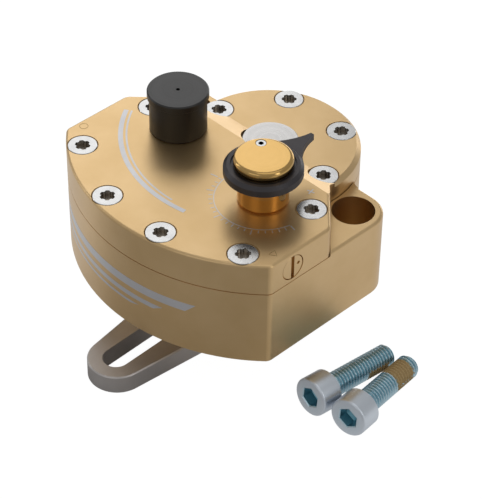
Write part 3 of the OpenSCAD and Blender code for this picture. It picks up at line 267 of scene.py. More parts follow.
class Groups:
    """Shader node groups that several finishes share. Each is built once, when first asked for."""

    detail: float = 2.0
    fine_detail: float = 1.0
    cloud_detail: float = 3.0
    coarse_share: float = 0.65
    fine_scale: float = 3.0
    line_stretch: float = 30.0
    mask_from: float = 0.1

    @classmethod
    def relief(cls, grain: Grain) -> bpy.types.NodeTree:
        """Group for a way of working the surface.

        Height is the grain's pattern. Cloud is a slow noise for drifts of tone across the part.

        Args:
            grain: how the surface was worked.

        Returns:
            The node group.
        """
        if grain.value in bpy.data.node_groups:
            return bpy.data.node_groups[grain.value]
        graph = GroupGraph(grain.value, {"Vector": ORIGIN, "Grain": 5000.0, "Cloud": 60.0},
                           ("Height", "Cloud"))
        patterns = {Grain.BLASTED: cls.blasted, Grain.TURNED: cls.turned, Grain.MILLED: cls.milled}
        vector = graph.given["Vector"]
        graph.join(patterns[grain](graph, vector, graph.given["Grain"]), graph.result["Height"])
        cloud = graph.noise(vector, graph.given["Cloud"], cls.cloud_detail)
        graph.join(cloud, graph.result["Cloud"])
        return graph.tree

    @classmethod
    def blasted(cls, graph: GroupGraph, vector: Socket, grain: Socket) -> Socket:
        """Even relief of a bead-blasted, anodised surface.

        It is a weighted sum of two noises, one at the grain's size and one at a third of it.

        Args:
            graph: the group's tree.
            vector: where the relief is read.
            grain: grains in a metre.

        Returns:
            The height.
        """
        coarse = graph.noise(vector, grain, cls.detail)
        fine = graph.noise(vector, graph.maths("MULTIPLY", grain, cls.fine_scale), cls.fine_detail)
        return graph.maths("ADD", graph.maths("MULTIPLY", coarse, cls.coarse_share),
                           graph.maths("MULTIPLY", fine, 1 - cls.coarse_share))

    @classmethod
    def turned(cls, graph: GroupGraph, vector: Socket, grain: Socket) -> Socket:
        """Rings that a lathe leaves about a vertical axis.

        It is a noise read at the point's distance from the axis, the root of the sum of the
        squares of x and y, and at its level, so it is the same all the way round.

        Args:
            graph: the group's tree.
            vector: where the relief is read, from the axis.
            grain: rings in a metre.

        Returns:
            The height.
        """
        x, y, z = graph.split(vector)
        square = graph.maths("ADD", graph.maths("MULTIPLY", x, x), graph.maths("MULTIPLY", y, y))
        around = graph.add("CombineXYZ")
        graph.join(graph.maths("SQRT", square), around.inputs[0])
        graph.join(z, around.inputs[1])
        return graph.noise(around.outputs[0], grain, cls.detail)

    @classmethod
    def milled(cls, graph: GroupGraph, vector: Socket, grain: Socket) -> Socket:
        """Straight lines of a cutter or a grinding belt along Y: a noise stretched that way.

        Args:
            graph: the group's tree.
            vector: where the relief is read.
            grain: lines in a metre.

        Returns:
            The height.
        """
        stretch = graph.add("VectorMath", operation="MULTIPLY")
        graph.join(vector, stretch.inputs[0])
        stretch.inputs[1].default_value = (1.0, 1.0 / cls.line_stretch, 1.0)
        return graph.noise(stretch.outputs[0], grain, cls.detail)

    @classmethod
    def recess(cls) -> bpy.types.NodeTree:
        """Mask of painted shade over what lies deep under the heads of upright screws.

        The head's level is Front where y is below Divide and Rear beyond it. The mask rises
        from 0 to 1 as the depth under that level goes from a tenth of Reach to Reach.

        Returns:
            The node group.
        """
        name = "socket_recess"
        if name in bpy.data.node_groups:
            return bpy.data.node_groups[name]
        graph = GroupGraph(name, {"Vector": ORIGIN, "Front": 0.04, "Rear": 0.04,
                                  "Divide": -0.009, "Reach": 0.0015}, ("Mask",))
        given = graph.given
        _, y, z = graph.split(given["Vector"])
        rear = graph.maths("GREATER_THAN", y, given["Divide"])
        step = graph.maths("MULTIPLY", rear, graph.maths("SUBTRACT", given["Rear"], given["Front"]))
        depth = graph.maths("SUBTRACT", graph.maths("ADD", given["Front"], step), z)
        share = graph.maths("DIVIDE", depth, given["Reach"])
        graph.join(graph.ramp(share, (cls.mask_from, 1.0), UNIT), graph.result["Mask"])
        return graph.tree


class MaterialGraph(Graph):
    """Tree of a new material that reads object coordinates and bends its normal by a relief."""

    def __init__(self, name: str) -> None:
        """Makes the material and its coordinates.

        Args:
            name: the material's name.
        """
        self.material = bpy.data.materials.new(name)
        self.material.use_nodes = True
        super().__init__(self.material.node_tree)
        self.place = self.add("TexCoord").outputs["Object"]

    def relief(self, grain: Grain, vector: Socket, grain_size: float,
               cloud_size: float) -> tuple[Socket, Socket]:
        """Places the group for a grain.

        Args:
            grain: how the surface was worked.
            vector: where the group is read.
            grain_size: size of a grain in metres.
            cloud_size: size of a drift of tone in metres.

        Returns:
            The group's height and its cloud.
        """
        node = self.add("Group", node_tree=Groups.relief(grain))
        self.join(vector, node.inputs["Vector"])
        node.inputs["Grain"].default_value = 1 / grain_size
        node.inputs["Cloud"].default_value = 1 / cloud_size
        return node.outputs["Height"], node.outputs["Cloud"]

    def finish(self, shader: bpy.types.Node, height: Socket, depth: float) -> bpy.types.Material:
        """Bends the shader's normal by a height and links it to the output.

        Args:
            shader: the material's shader.
            height: the relief, 0 to 1.
            depth: how deep the relief is, in metres.

        Returns:
            The finished material.
        """
        bump = self.add("Bump")
        bump.inputs["Strength"].default_value = 1.0
        bump.inputs["Distance"].default_value = depth
        self.join(height, bump.inputs["Height"])
        self.join(bump.outputs[0], shader.inputs["Normal"])
        self.close("OutputMaterial", shader.outputs[0])
        return self.material


@dataclass(frozen=True)
class Finish:
    """A worked surface: its colour, gloss and fine relief.

    Lengths are in metres. The relief and the drifts of tone come from the group for grain.
    """

    name: str
    colour: Colour
    drift: Colour
    roughness: float
    metallic: float = 1.0
    grain: Grain = Grain.BLASTED
    grain_size: float = 0.00018
    grain_depth: float = 0.0000015
    cloud_size: float = 0.02
    rough_spread: float = 0.05
    centre: Point = ORIGIN
    coat: float = 0.0
    coat_roughness: float = 0.1
    specular: float = 0.5
    # Painted shade: below these levels a screw's socket darkens to the recess colour.
    recess_levels: Range | None = None
    recess_reach: float = 0.0026
    recess_shade_colour: Colour = (0.22, 0.165, 0.10)

    def sockets_shaded(self, graph: MaterialGraph, tone: Socket) -> Socket:
        """Paints shade on what lies deep under a screw's head.

        Args:
            graph: the material's tree.
            tone: the colour so far.

        Returns:
            The colour, blended to the painted shade colour by the recess group's mask.
        """
        recess = graph.add("Group", node_tree=Groups.recess())
        graph.join(graph.place, recess.inputs["Vector"])
        for key, value in zip(("Front", "Rear", "Reach"), (*self.recess_levels, self.recess_reach)):
            recess.inputs[key].default_value = value
        return graph.blend(recess.outputs["Mask"], tone, self.recess_shade_colour)

    def material(self) -> bpy.types.Material:
        """Builds the material once.

        Returns:
            The material, with its colour drifting to a second tone and its roughness and bump
            taken from the relief.
        """
        if self.name in bpy.data.materials:
            return bpy.data.materials[self.name]
        graph = MaterialGraph(self.name)
        centred = graph.add("Mapping")
        centred.inputs["Location"].default_value = [-c for c in self.centre]
        graph.join(graph.place, centred.inputs["Vector"])
        height, cloud = graph.relief(self.grain, centred.outputs[0], self.grain_size,
                                     self.cloud_size)
        tone = graph.blend(graph.ramp(cloud, CLOUD_EDGES, UNIT), self.colour, self.drift)
        # Painted shade in the screws' sockets.
        if self.recess_levels:
            tone = self.sockets_shaded(graph, tone)
        rough = graph.ramp(height, RELIEF_EDGES, (self.roughness - self.rough_spread,
                                                  self.roughness + self.rough_spread))
        shader = graph.add("BsdfPrincipled")
        for key, value in (("Base Color", tone), ("Roughness", rough), ("Metallic", self.metallic),
                           ("Specular IOR Level", self.specular), ("Coat Weight", self.coat),
                           ("Coat Roughness", self.coat_roughness)):
            graph.feed(value, shader.inputs[key])
        return graph.finish(shader, height, self.grain_depth)


@dataclass(frozen=True)
class ZincFinish:
    """Bright zinc with a blue-green cast and painted shade in its hollows, and a dry patch of
    thread lock.

    It reads what the bolt's mesh holds at each point: hollow, how deep the point lies in a
    thread or the socket, and patch, where the thread lock was brushed on. Lengths are in metres.
    """

    name: str = "bright_zinc"
    outer: Colour = (0.64, 0.69, 0.75)
    # Colour deep in a hollow: the zinc's blue-green cast, darker as painted shade.
    inner: Colour = (0.27, 0.50, 0.58)
    lock: Colour = (0.50, 0.36, 0.17)
    lock_dark: Colour = (0.34, 0.235, 0.10)
    roughness: float = 0.38
    lock_roughness: float = 0.75
    lock_metallic: float = 0.1
    ragged: float = 0.35
    grain_size: float = 0.0002
    grain_depth: float = 0.000004
    cloud_size: float = 0.0012

    def material(self) -> bpy.types.Material:
        """Builds the material once.

        The patch's edge is made ragged by the cloud, which is added to it, and then hardened.

        Returns:
            The material, zinc outside the patch and thread lock inside it.
        """
        if self.name in bpy.data.materials:
            return bpy.data.materials[self.name]
        graph = MaterialGraph(self.name)
        height, cloud = graph.relief(Grain.BLASTED, graph.place, self.grain_size, self.cloud_size)
        hollow, patch = (graph.add("Attribute", attribute_name=cast.value).outputs["Fac"]
                         for cast in (Cast.HOLLOW, Cast.PATCH))
        ragged = graph.ramp(cloud, RELIEF_EDGES, (-self.ragged, self.ragged))
        brushed = graph.ramp(graph.maths("ADD", patch, ragged), CLOUD_EDGES, UNIT)
        # Blue-green cast and painted shade, both growing with depth in a hollow.
        zinc_with_hollow_shade = graph.blend(hollow, self.outer, self.inner)
        lock = graph.blend(cloud, self.lock_dark, self.lock)
        shader = graph.add("BsdfPrincipled")
        for key, value in (
            ("Base Color", graph.blend(brushed, zinc_with_hollow_shade, lock)),
            ("Metallic", graph.ramp(brushed, UNIT, (1.0, self.lock_metallic))),
            ("Roughness", graph.ramp(brushed, UNIT, (self.roughness, self.lock_roughness))),
        ):
            graph.join(value, shader.inputs[key])
        return graph.finish(shader, height, self.grain_depth)


SATIN_GOLD = Finish("satin_gold", (0.66, 0.465, 0.240), (0.61, 0.420, 0.205), 0.37, coat=0.12,
                    coat_roughness=0.35)
POLISHED_GOLD = Finish("polished_gold", (0.57, 0.365, 0.135), (0.53, 0.335, 0.115), 0.17,
                       grain=Grain.TURNED, grain_size=0.0003, grain_depth=0.0000004,
                       rough_spread=0.03, centre=VALVE_AXIS)
AMBER = Finish("turned_amber", (0.64, 0.36, 0.115), (0.58, 0.31, 0.09), 0.11,
               grain=Grain.TURNED, grain_size=0.0003, grain_depth=0.0000008, rough_spread=0.04,
               centre=VALVE_AXIS)
SMOKE_BLACK = Finish("smoke_black", (0.060, 0.055, 0.058), (0.050, 0.046, 0.049), 0.42,
                     metallic=0.6, grain=Grain.TURNED, grain_size=0.0004,
                     grain_depth=0.0000008, centre=VALVE_AXIS)
SATIN_BLACK = Finish("satin_black", (0.010, 0.009, 0.008), (0.007, 0.006, 0.006), 0.36,
                     metallic=0.0, specular=0.55, grain=Grain.TURNED, grain_size=0.0004,
                     grain_depth=0.0000008, centre=RESERVOIR_AXIS)
SCREW_STEEL = Finish("screw_steel", (0.50, 0.50, 0.495), (0.43, 0.43, 0.43), 0.24,
                     grain_size=0.0002, grain_depth=0.000002, cloud_size=0.003)
# The cover screws' sockets get painted shade below the cover's two top levels.
HEAD_STEEL = Finish("head_steel", (0.565, 0.565, 0.56), (0.495, 0.495, 0.495), 0.22,
                    grain_size=0.0002, grain_depth=0.000002, cloud_size=0.004,
                    recess_levels=(0.040, 0.0363))
# The set screw's hex socket gets painted shade, nearly black.
SET_SCREW_STEEL = Finish("set_screw_steel", (0.55, 0.55, 0.54), (0.50, 0.50, 0.49), 0.2,
                         recess_levels=(0.05675, 0.05675), recess_reach=0.0008,
                         recess_shade_colour=(0.012, 0.012, 0.012))
TURNED_STEEL = Finish("turned_steel", (0.53, 0.52, 0.51), (0.49, 0.48, 0.47), 0.30,
                      grain=Grain.TURNED, grain_size=0.00035, grain_depth=0.000001)
ARM_GREY = Finish("bare_arm", (0.54, 0.51, 0.49), (0.47, 0.445, 0.43), 0.45,
                  grain=Grain.MILLED, grain_size=0.0003, grain_depth=0.000003)
SPRING_STEEL = Finish("spring_steel", (0.55, 0.55, 0.56), (0.5, 0.5, 0.52), 0.25)
BRONZE = Finish("bush_bronze", (0.45, 0.27, 0.12), (0.4, 0.23, 0.1), 0.4, grain=Grain.TURNED,
                grain_size=0.0004, grain_depth=0.000002)
BRASS = Finish("inner_brass", (0.7, 0.5, 0.2), (0.65, 0.45, 0.17), 0.25, grain=Grain.TURNED,
               grain_size=0.0004, grain_depth=0.000002)
RUBBER = Finish("seal_rubber", (0.012, 0.012, 0.012), (0.018, 0.018, 0.018), 0.6, metallic=0.0,
                grain_size=0.0002, grain_depth=0.000004)
ETCHED = Finish("etched_bare", (0.62, 0.62, 0.64), (0.56, 0.56, 0.58), 0.45,
                grain=Grain.MILLED, grain_size=0.00015, grain_depth=0.000003)
GHOST_LINE = Finish("ghost_line", (0.36, 0.23, 0.09), (0.32, 0.2, 0.08), 0.5)
ZINC = ZincFinish()

NODE_FINISHES: dict[str, Finish] = {
    "housing": SATIN_GOLD, "cover": SATIN_GOLD, "right_sweep_valve": SATIN_GOLD,
    "left_sweep_valve": SATIN_GOLD, "base_knob": POLISHED_GOLD, "base_valve_collar": AMBER,
    "pointer_ring": SMOKE_BLACK, "reservoir_tube": SATIN_BLACK, "reservoir_cap": SATIN_BLACK,
    "cover_screws": HEAD_STEEL, "dowel_pins": SCREW_STEEL, "knob_set_screw": SET_SCREW_STEEL,
    "seal_circlip": SPRING_STEEL, "pinch_screw": SCREW_STEEL, "vane_screws": SCREW_STEEL,
    "shaft": TURNED_STEEL, "vane": TURNED_STEEL, "link_arm": ARM_GREY,
    "detent_ball": SPRING_STEEL, "detent_spring": SPRING_STEEL,
    "upper_bush": BRONZE, "lower_bush": BRONZE, "base_needle": BRASS, "reservoir_piston": BRASS,
    "cover_seal": RUBBER, "upper_shaft_seal": RUBBER, "lower_shaft_seal": RUBBER,
    "collar_seal": RUBBER, "right_sweep_seal": RUBBER, "left_sweep_seal": RUBBER,
    "reservoir_seal": RUBBER, "piston_seal": RUBBER, "vane_seal": RUBBER,
}


@dataclass
class Shell:
    """Vertices and faces of a closed surface, which grows as patches are added."""

    points: list[np.ndarray] = field(default_factory=list)
    faces: list[np.ndarray] = field(default_factory=list)

    def add(self, points: np.ndarray, *faces: np.ndarray) -> None:
        """Adds vertices and the faces between them.

        Args:
            points: the vertices, three coordinates each.
            faces: arrays of quads or triangles that number these vertices from zero.
        """
        start = sum(len(p) for p in self.points)
        self.points.append(points)
        self.faces.extend(array + start for array in faces)

    def volume(self) -> float:
        """Signed volume inside, times six.

        Each face is cut into triangles, and each triangle adds its first corner's dot product
        with the cross product of the other two.

        Returns:
            The sum, negative where the faces point inwards.
        """
        points = np.concatenate(self.points)
        total = 0.0
        for array in self.faces:
            for k in range(1, array.shape[1] - 1):
                a, b, c = (points[array[:, n]] for n in (0, k, k + 1))
                total += float(np.einsum("ij,ij->i", a, np.cross(b, c)).sum())
        return total

    def build(self, name: str, smooth_deg: float) -> bpy.types.Object:
        """Makes the object.

        Args:
            name: the piece's name.
            smooth_deg: edges sharper than this stay hard.

        Returns:
            The linked object, at the origin, with its faces pointing outwards.
        """
        turn = -1 if self.volume() < 0 else 1
        faces = [face[::turn] for array in self.faces for face in array.tolist()]
        mesh = bpy.data.meshes.new(name)
        mesh.from_pydata(np.concatenate(self.points).tolist(), [], faces)
        mesh.validate()
        mesh.polygons.foreach_set("use_smooth", np.ones(len(mesh.polygons), bool))
        mesh.set_sharp_from_angle(angle=math.radians(smooth_deg))
        made = bpy.data.objects.new(name, mesh)
        bpy.context.scene.collection.objects.link(made)
        LOG.info("piece %s: %d faces", name, len(mesh.polygons))
        return made


def grid_quads(rows: int, columns: int, closed: bool) -> np.ndarray:
    """Quads of a grid of vertices stored row by row.

    Vertex j of row i has the number i times columns plus j, and each quad joins it to the next
    one along and to the two after them in the next row.

    Args:
        rows: number of rows of vertices.
        columns: number of vertices in a row.
        closed: whether each row's last vertex joins its first.

    Returns:
        An array of vertex numbers, four to a quad.
    """
    across = columns if closed else columns - 1
    i, j = np.meshgrid(np.arange(rows - 1), np.arange(across), indexing="ij")
    k = (j + 1) % columns
    corners = (i * columns + j, i * columns + k, (i + 1) * columns + k, (i + 1) * columns + j)
    return np.stack(corners, axis=-1).reshape(-1, 4)


def pole_fan(pole: int, start: int, columns: int, turn: int) -> np.ndarray:
    """Triangles from a pole's vertex to each side of a closed row that starts at start.

    Args:
        pole: number of the pole's vertex.
        start: number of the row's first vertex.
        columns: number of vertices in the row.
        turn: 1 or -1, the way round.

    Returns:
        An array of vertex numbers, three to a triangle.
    """
    here = np.arange(columns)
    fan = np.stack([np.full(columns, pole), start + here, start + (here + 1) % columns], axis=-1)
    return fan[:, ::turn]


def tube_faces(rows: int, columns: int) -> tuple[np.ndarray, np.ndarray, np.ndarray]:
    """Faces of a tube of closed rows whose two poles are the last two vertices.

    Args:
        rows: number of rows of vertices.
        columns: number of vertices in a row.

    Returns:
        The quads between the rows and a fan of triangles at each end.
    """
    count = rows * columns
    return (grid_quads(rows, columns, True), pole_fan(count, 0, columns, -1),
            pole_fan(count + 1, count - columns, columns, 1))


def raised_patch(shell: Shell, surface: Surface, u: np.ndarray, low: np.ndarray, high: np.ndarray,
                 height: float) -> None:
    """Adds a thin closed slab that stands on a surface.

    For each u, v runs evenly from low to high in two steps. The slab's outer face lies height
    above the surface and its inner face as far below it, and strips close the sides.

    Args:
        shell: what the slab is added to.
        surface: gives points from arrays of u and v and a height over the surface.
        u: values of the first parameter.
        low: least v at each u.
        high: greatest v at each u.
        height: half the slab's thickness in metres.
    """
    rows = 3
    v = low[:, None] + (high - low)[:, None] * np.linspace(0.0, 1.0, rows)
    uu = np.broadcast_to(u[:, None], v.shape)
    n = v.size
    outer = surface(uu.ravel(), v.ravel(), height)
    inner = surface(uu.ravel(), v.ravel(), -height)
    face = grid_quads(len(u), rows, False)
    rim = np.concatenate([np.arange(rows), np.arange(2 * rows - 1, n, rows),
                          np.arange(n - 2, n - rows - 1, -1), np.arange(n - 2 * rows, 0, -rows)])
    after = np.roll(rim, -1)
    side = np.stack([rim, rim + n, after + n, after], axis=-1)
    shell.add(np.concatenate([outer, inner]), face, face[:, ::-1] + n, side)


@dataclass
class TopPlane:
    """Polar surface on a level face, about a centre, in metres."""

    centre: Point

    def __call__(self, angle: np.ndarray, radius: np.ndarray, height: float) -> np.ndarray:
        """Points round the centre: the radius times the angle's cosine and sine, added to it.

        Args:
            angle: angle from +X.
            radius: distance from the centre.
            height: height over the face.

        Returns:
            The points.
        """
        x, y, z = self.centre
        return np.stack([x + radius * np.cos(angle), y + radius * np.sin(angle),
                         np.full_like(angle, z + height)], axis=-1)


@dataclass
class FlatPlane:
    """Straight surface on a level face, with its own direction, in metres."""

    centre: Point
    turn_deg: float

    def __call__(self, along: np.ndarray, across: np.ndarray, height: float) -> np.ndarray:
        """Points at two distances from the centre.

        Each is the centre plus along times the turned direction and across times the one at
        right angles to it.

        Args:
            along: distance along the turned direction.
            across: distance at right angles to it, to the left.
            height: height over the face.

        Returns:
            The points.
        """
        x, y, z = self.centre
        c, s = math.cos(math.radians(self.turn_deg)), math.sin(math.radians(self.turn_deg))
        return np.stack([x + along * c - across * s, y + along * s + across * c,
                         np.full_like(along, z + height)], axis=-1)


@dataclass
class NoseWall:
    """Upright cylinder about the shaft, in metres; angles run from -Y towards +X."""

    radius: float

    def __call__(self, angle: np.ndarray, z: np.ndarray, height: float) -> np.ndarray:
        """Points at an angle round the nose and a level: r sin, -r cos and z."""
        r = self.radius + height
        return np.stack([r * np.sin(angle), -r * np.cos(angle), z], axis=-1)


def dress(piece: bpy.types.Object, finish: Finish | ZincFinish) -> None:
    """Gives a new piece its material and its body."""
    piece.data.materials.append(finish.material())
    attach(piece, Body.DAMPER.value)


@dataclass
class PackedSolids:
    """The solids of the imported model, which keep their shape and get their finishes."""

    finishes: dict[str, Finish] = field(default_factory=lambda: dict(NODE_FINISHES))

    def dress(self, nodes: dict[str, bpy.types.Object]) -> None:
        """Puts each solid's finish into its material slots.

        Args:
            nodes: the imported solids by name.
        """
        for name, finish in self.finishes.items():
            for slot in nodes[name].material_slots:
                slot.material = finish.material()
            LOG.info("solid %s: %s", name, finish.name)


@dataclass
class LooseBolt:
    """Socket screw lying on the floor, with a rolled thread. Lengths are in millimetres.

    Face is the place of the head's flat end on the floor's plan. Crest and root are the shares
    of the pitch that are cut flat there. Depth, fade and lock_fill give the thread's full depth
    in pitches, the pitches over which it fades out at the neck, and the share of it that thread
    lock fills. The casts say how deep in a hollow the thread's crest counts, and the socket's
    mouth, wall and floor. The patch fields place the thread lock.
    """

    name: str
    face: tuple[float, float]
    heading_deg: float
    floor_z: float = -19.8
    thread_d: float = 8.0
    pitch: float = 1.25
    crest: float = 0.125
    root: float = 0.25
    depth: float = 0.6134
    fade: float = 1.5
    lock_fill: float = 0.35
    length: float = 27.0
    head_d: float = 13.0
    head_h: float = 8.0
    edge: float = 0.8
    edge_rows: int = 7
    seat_bevel: float = 0.3
    neck: float = 1.1
    tip_bevel: float = 0.9
    socket: float = 6.0
    socket_depth: float = 4.0
    socket_cone: float = 1.2
    socket_mouth: float = 0.35
    # Depth in a hollow at the socket's mouth, wall and floor, by which the finish paints shade and
    # the blue-green cast.
    socket_casts: tuple[float, float, float] = (0.15, 0.8, 1.0)
    shank_cast: float = 0.42
    patch_from: float = 2.6
    patch_to: float = 12.5
    patch_side_deg: float = 90.0
    patch_half_deg: float = 180.0
    patch_soft: float = 0.3
    columns: int = 96
    steps: int = 14
    smooth_deg: float = 35.0

    def thread(self, along: np.ndarray, angle: np.ndarray) -> tuple[np.ndarray, np.ndarray]:
        """Radius of the thread and depth in it.

        The phase of a point is its distance from the tip in pitches less its share of a turn.
        A triangle wave of that phase, cut flat at the crest over an eighth of the pitch and at
        the root over a quarter, is the depth, which fades out at the neck and where thread lock
        fills the root.

        Args:
            along: distance from the tip.
            angle: angle round the axis.

        Returns:
            The radius, and the hollow from the shank's own cast at the crest to 1 at the root.
        """
        phase = along / self.pitch - angle / (2 * np.pi)
        wave = np.abs(2 * (phase - np.floor(phase)) - 1)
        cut = np.clip((wave - self.crest) / (1 - self.crest - self.root), 0.0, 1.0)
        left = self.length - self.neck - along
        cut = cut * np.clip(left / (self.fade * self.pitch), 0.0, 1.0)
        filled = self.lock_fill * self.patch(along, angle)
        radius = self.thread_d / 2 - self.depth * self.pitch * cut * (1 - filled)
        return radius, self.shank_cast + (1 - self.shank_cast) * cut

    def patch(self, along: np.ndarray, angle: np.ndarray) -> np.ndarray:
        """Share of thread lock at a point.

        It is 1 inside a band and a sector. It falls to 0 over a millimetre inside the band's
        ends, and over patch_soft radians about the sector's sides.

        Args:
            along: distance from the tip.
            angle: angle round the axis.

        Returns:
            The share, 0 to 1.
        """
        band = np.clip(along - self.patch_from, 0, 1) * np.clip(self.patch_to - along, 0, 1)
        off = np.abs((angle - math.radians(self.patch_side_deg) + np.pi) % (2 * np.pi) - np.pi)
        inside = math.radians(self.patch_half_deg) + self.patch_soft / 2 - off
        return band * np.clip(inside / self.patch_soft, 0, 1)

    def hexagon(self, angle: np.ndarray, flats: float) -> np.ndarray:
        """Radius of a hexagon with a point at angle 0: half its flats by the cosine off a flat."""
        turn = (angle % (np.pi / 3)) - np.pi / 6
        return flats / 2 / np.cos(turn)

    def rows(self) -> tuple[np.ndarray, np.ndarray, np.ndarray, np.ndarray]:
        """All rows of the bolt's surface, from the tip's centre to the socket's bottom.

        The shank's rows are the thread, held inside the tip's bevel. Then come the seat's bevel,
        a quarter circle for the head's edge, and the hexagons of the socket's mouth and wall.

        Returns:
            Distance from the tip, radius, depth in a hollow and thread lock, each an array of
            rows by columns.
        """
        angle = np.linspace(0, 2 * np.pi, self.columns, endpoint=False)
        ones = np.ones(self.columns)
        count = round(self.length / self.pitch * self.steps)
        along = np.outer(np.linspace(0, self.length, count), ones)
        radius, hollow = self.thread(along, angle)
        radius = np.minimum(radius, self.thread_d / 2 - self.tip_bevel + along)
        head_r, top = self.head_d / 2, self.length + self.head_h
        turn = np.linspace(0, np.pi / 2, self.edge_rows)
        levels = np.concatenate([
            [self.length, self.length + self.seat_bevel],
            top - self.edge + self.edge * np.sin(turn),
            [top, top - self.socket_mouth, top - self.socket_depth],
        ])
        rounds = np.concatenate([
            [head_r - self.seat_bevel, head_r],
            head_r - self.edge + self.edge * np.cos(turn),
        ])
        mouth = self.hexagon(angle, self.socket + 2 * self.socket_mouth)
        wall = self.hexagon(angle, self.socket)
        casts = np.append(np.zeros(len(rounds)), self.socket_casts)
        return (np.concatenate([along, np.outer(levels, ones)]),
                np.concatenate([radius, np.outer(rounds, ones), [mouth, wall, wall]]),
                np.concatenate([hollow, np.outer(casts, ones)]),
                np.concatenate([self.patch(along, angle), np.zeros((len(levels), self.columns))]))

    def placing(self) -> Matrix:
        """Place of the bolt, which rests on its head's rim and its tip, heading_deg from +X.

        It leans by the angle whose tangent is the step from head to thread over the length, and
        its face's centre stands the head's radius over the floor, with what the lean adds.

        Returns:
            The matrix from the bolt's own frame, its axis along Z from the face, to the scene.
        """
        tilt = math.atan((self.head_d - self.thread_d) / 2 / self.length)
        rise = self.head_d / 2 * math.cos(tilt) + self.head_h * math.sin(tilt)
        centre = Vector((*self.face, self.floor_z + rise)) * MM
        turn = Matrix.Rotation(math.radians(self.heading_deg), 4, "Z")
        lean = Matrix.Rotation(math.radians(90) + tilt, 4, "Y")
        return Matrix.Translation(centre) @ turn @ lean

    def build(self) -> bpy.types.Object:
        """Makes the bolt and stores its hollow and its patch in the mesh.

        A point of a row stands at its radius round the axis, at its distance from the face.

        Returns:
            The finished piece.
        """
        along, radius, hollow, lock = self.rows()
        angle = np.linspace(0, 2 * np.pi, self.columns, endpoint=False)
        depth = self.length + self.head_h
        local = np.stack([radius * np.cos(angle), radius * np.sin(angle), depth - along], axis=-1)
        poles = np.array([[0, 0, depth], [0, 0, self.socket_depth + self.socket_cone]])
        points = np.concatenate([local.reshape(-1, 3), poles]) * MM
        place = np.array(self.placing())
        shell = Shell()
        shell.add(points @ place[:3, :3].T + place[:3, 3], *tube_faces(*along.shape))
        piece = shell.build(self.name, self.smooth_deg)
        for cast, values, ends in ((Cast.HOLLOW, hollow, UNIT), (Cast.PATCH, lock, (0.0, 0.0))):
            layer = piece.data.attributes.new(cast.value, "FLOAT", "POINT")
            layer.data.foreach_set("value", np.append(values.ravel(), ends).astype(np.float32))
        dress(piece, ZINC)
        return piece


@dataclass
class LooseBolts:
    """The two mounting bolts as supplied, which lie beside the damper."""

    bolts: list[LooseBolt] = field(default_factory=lambda: [
        LooseBolt("left_bolt", (57.8, -38.6), 87.8, patch_side_deg=318.0, patch_half_deg=62.0),
        LooseBolt("right_bolt", (72.3, -36.6), 98.2),
    ])

    def build(self) -> None:
        """Builds both bolts in place of their plain solids."""
        for bolt in self.bolts:
            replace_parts(bolt.build(), "mounting_bolts")


@dataclass
class ReservoirSpring:
    """Pressure spring over the reservoir's piston, with closed ends. Lengths in millimetres."""

    centre: tuple[float, float] = (-22.7, -19.5)
    low: float = 38.6
    high: float = 50.0
    coil_r: float = 6.5
    wire: float = 0.9
    turns: float = 5.5
    closed: float = 0.75
    closed_pitch: float = 1.02
    fade: float = 0.5
    stroke: float = 3.5
    steps: int = 48
    sides: int = 16
    smooth_deg: float = 40.0

    def build(self) -> None:
        """Makes the coil, a round wire carried along a helix.

        The helix climbs a little over one wire a turn in the closed turns at each end. Between
        them it climbs faster, by a share that fades in over half a turn. The wire's ring at each
        step stands in the plane of the axis.
        """
        turn = np.linspace(0, self.turns, round(self.turns * self.steps) + 1)
        fast = np.clip((turn - self.closed) / self.fade, 0, 1)
        fast = fast * np.clip((self.turns - self.closed - turn) / self.fade, 0, 1)
        slow = self.wire * self.closed_pitch * turn
        rest = self.high - self.low - self.wire - slow[-1]
        level = self.low + self.wire / 2 + slow + rest * np.cumsum(fast) / fast.sum()
        ring = np.linspace(0, 2 * np.pi, self.sides, endpoint=False)
        angle = 2 * np.pi * turn[:, None]
        radius = self.coil_r + self.wire / 2 * np.cos(ring)[None, :]
        height = level[:, None] + self.wire / 2 * np.sin(ring)[None, :]
        x, y = self.centre
        coil = np.stack([x + radius * np.cos(angle), y + radius * np.sin(angle), height], axis=-1)
        poles = coil[[0, -1]].mean(axis=1)
        shell = Shell()
        shell.add(np.concatenate([coil.reshape(-1, 3), poles]) * MM,
                  *tube_faces(len(turn), self.sides))
        piece = shell.build("pressure_spring", self.smooth_deg)
        dress(piece, SPRING_STEEL)
        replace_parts(piece, "reservoir_spring")
        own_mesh(piece)


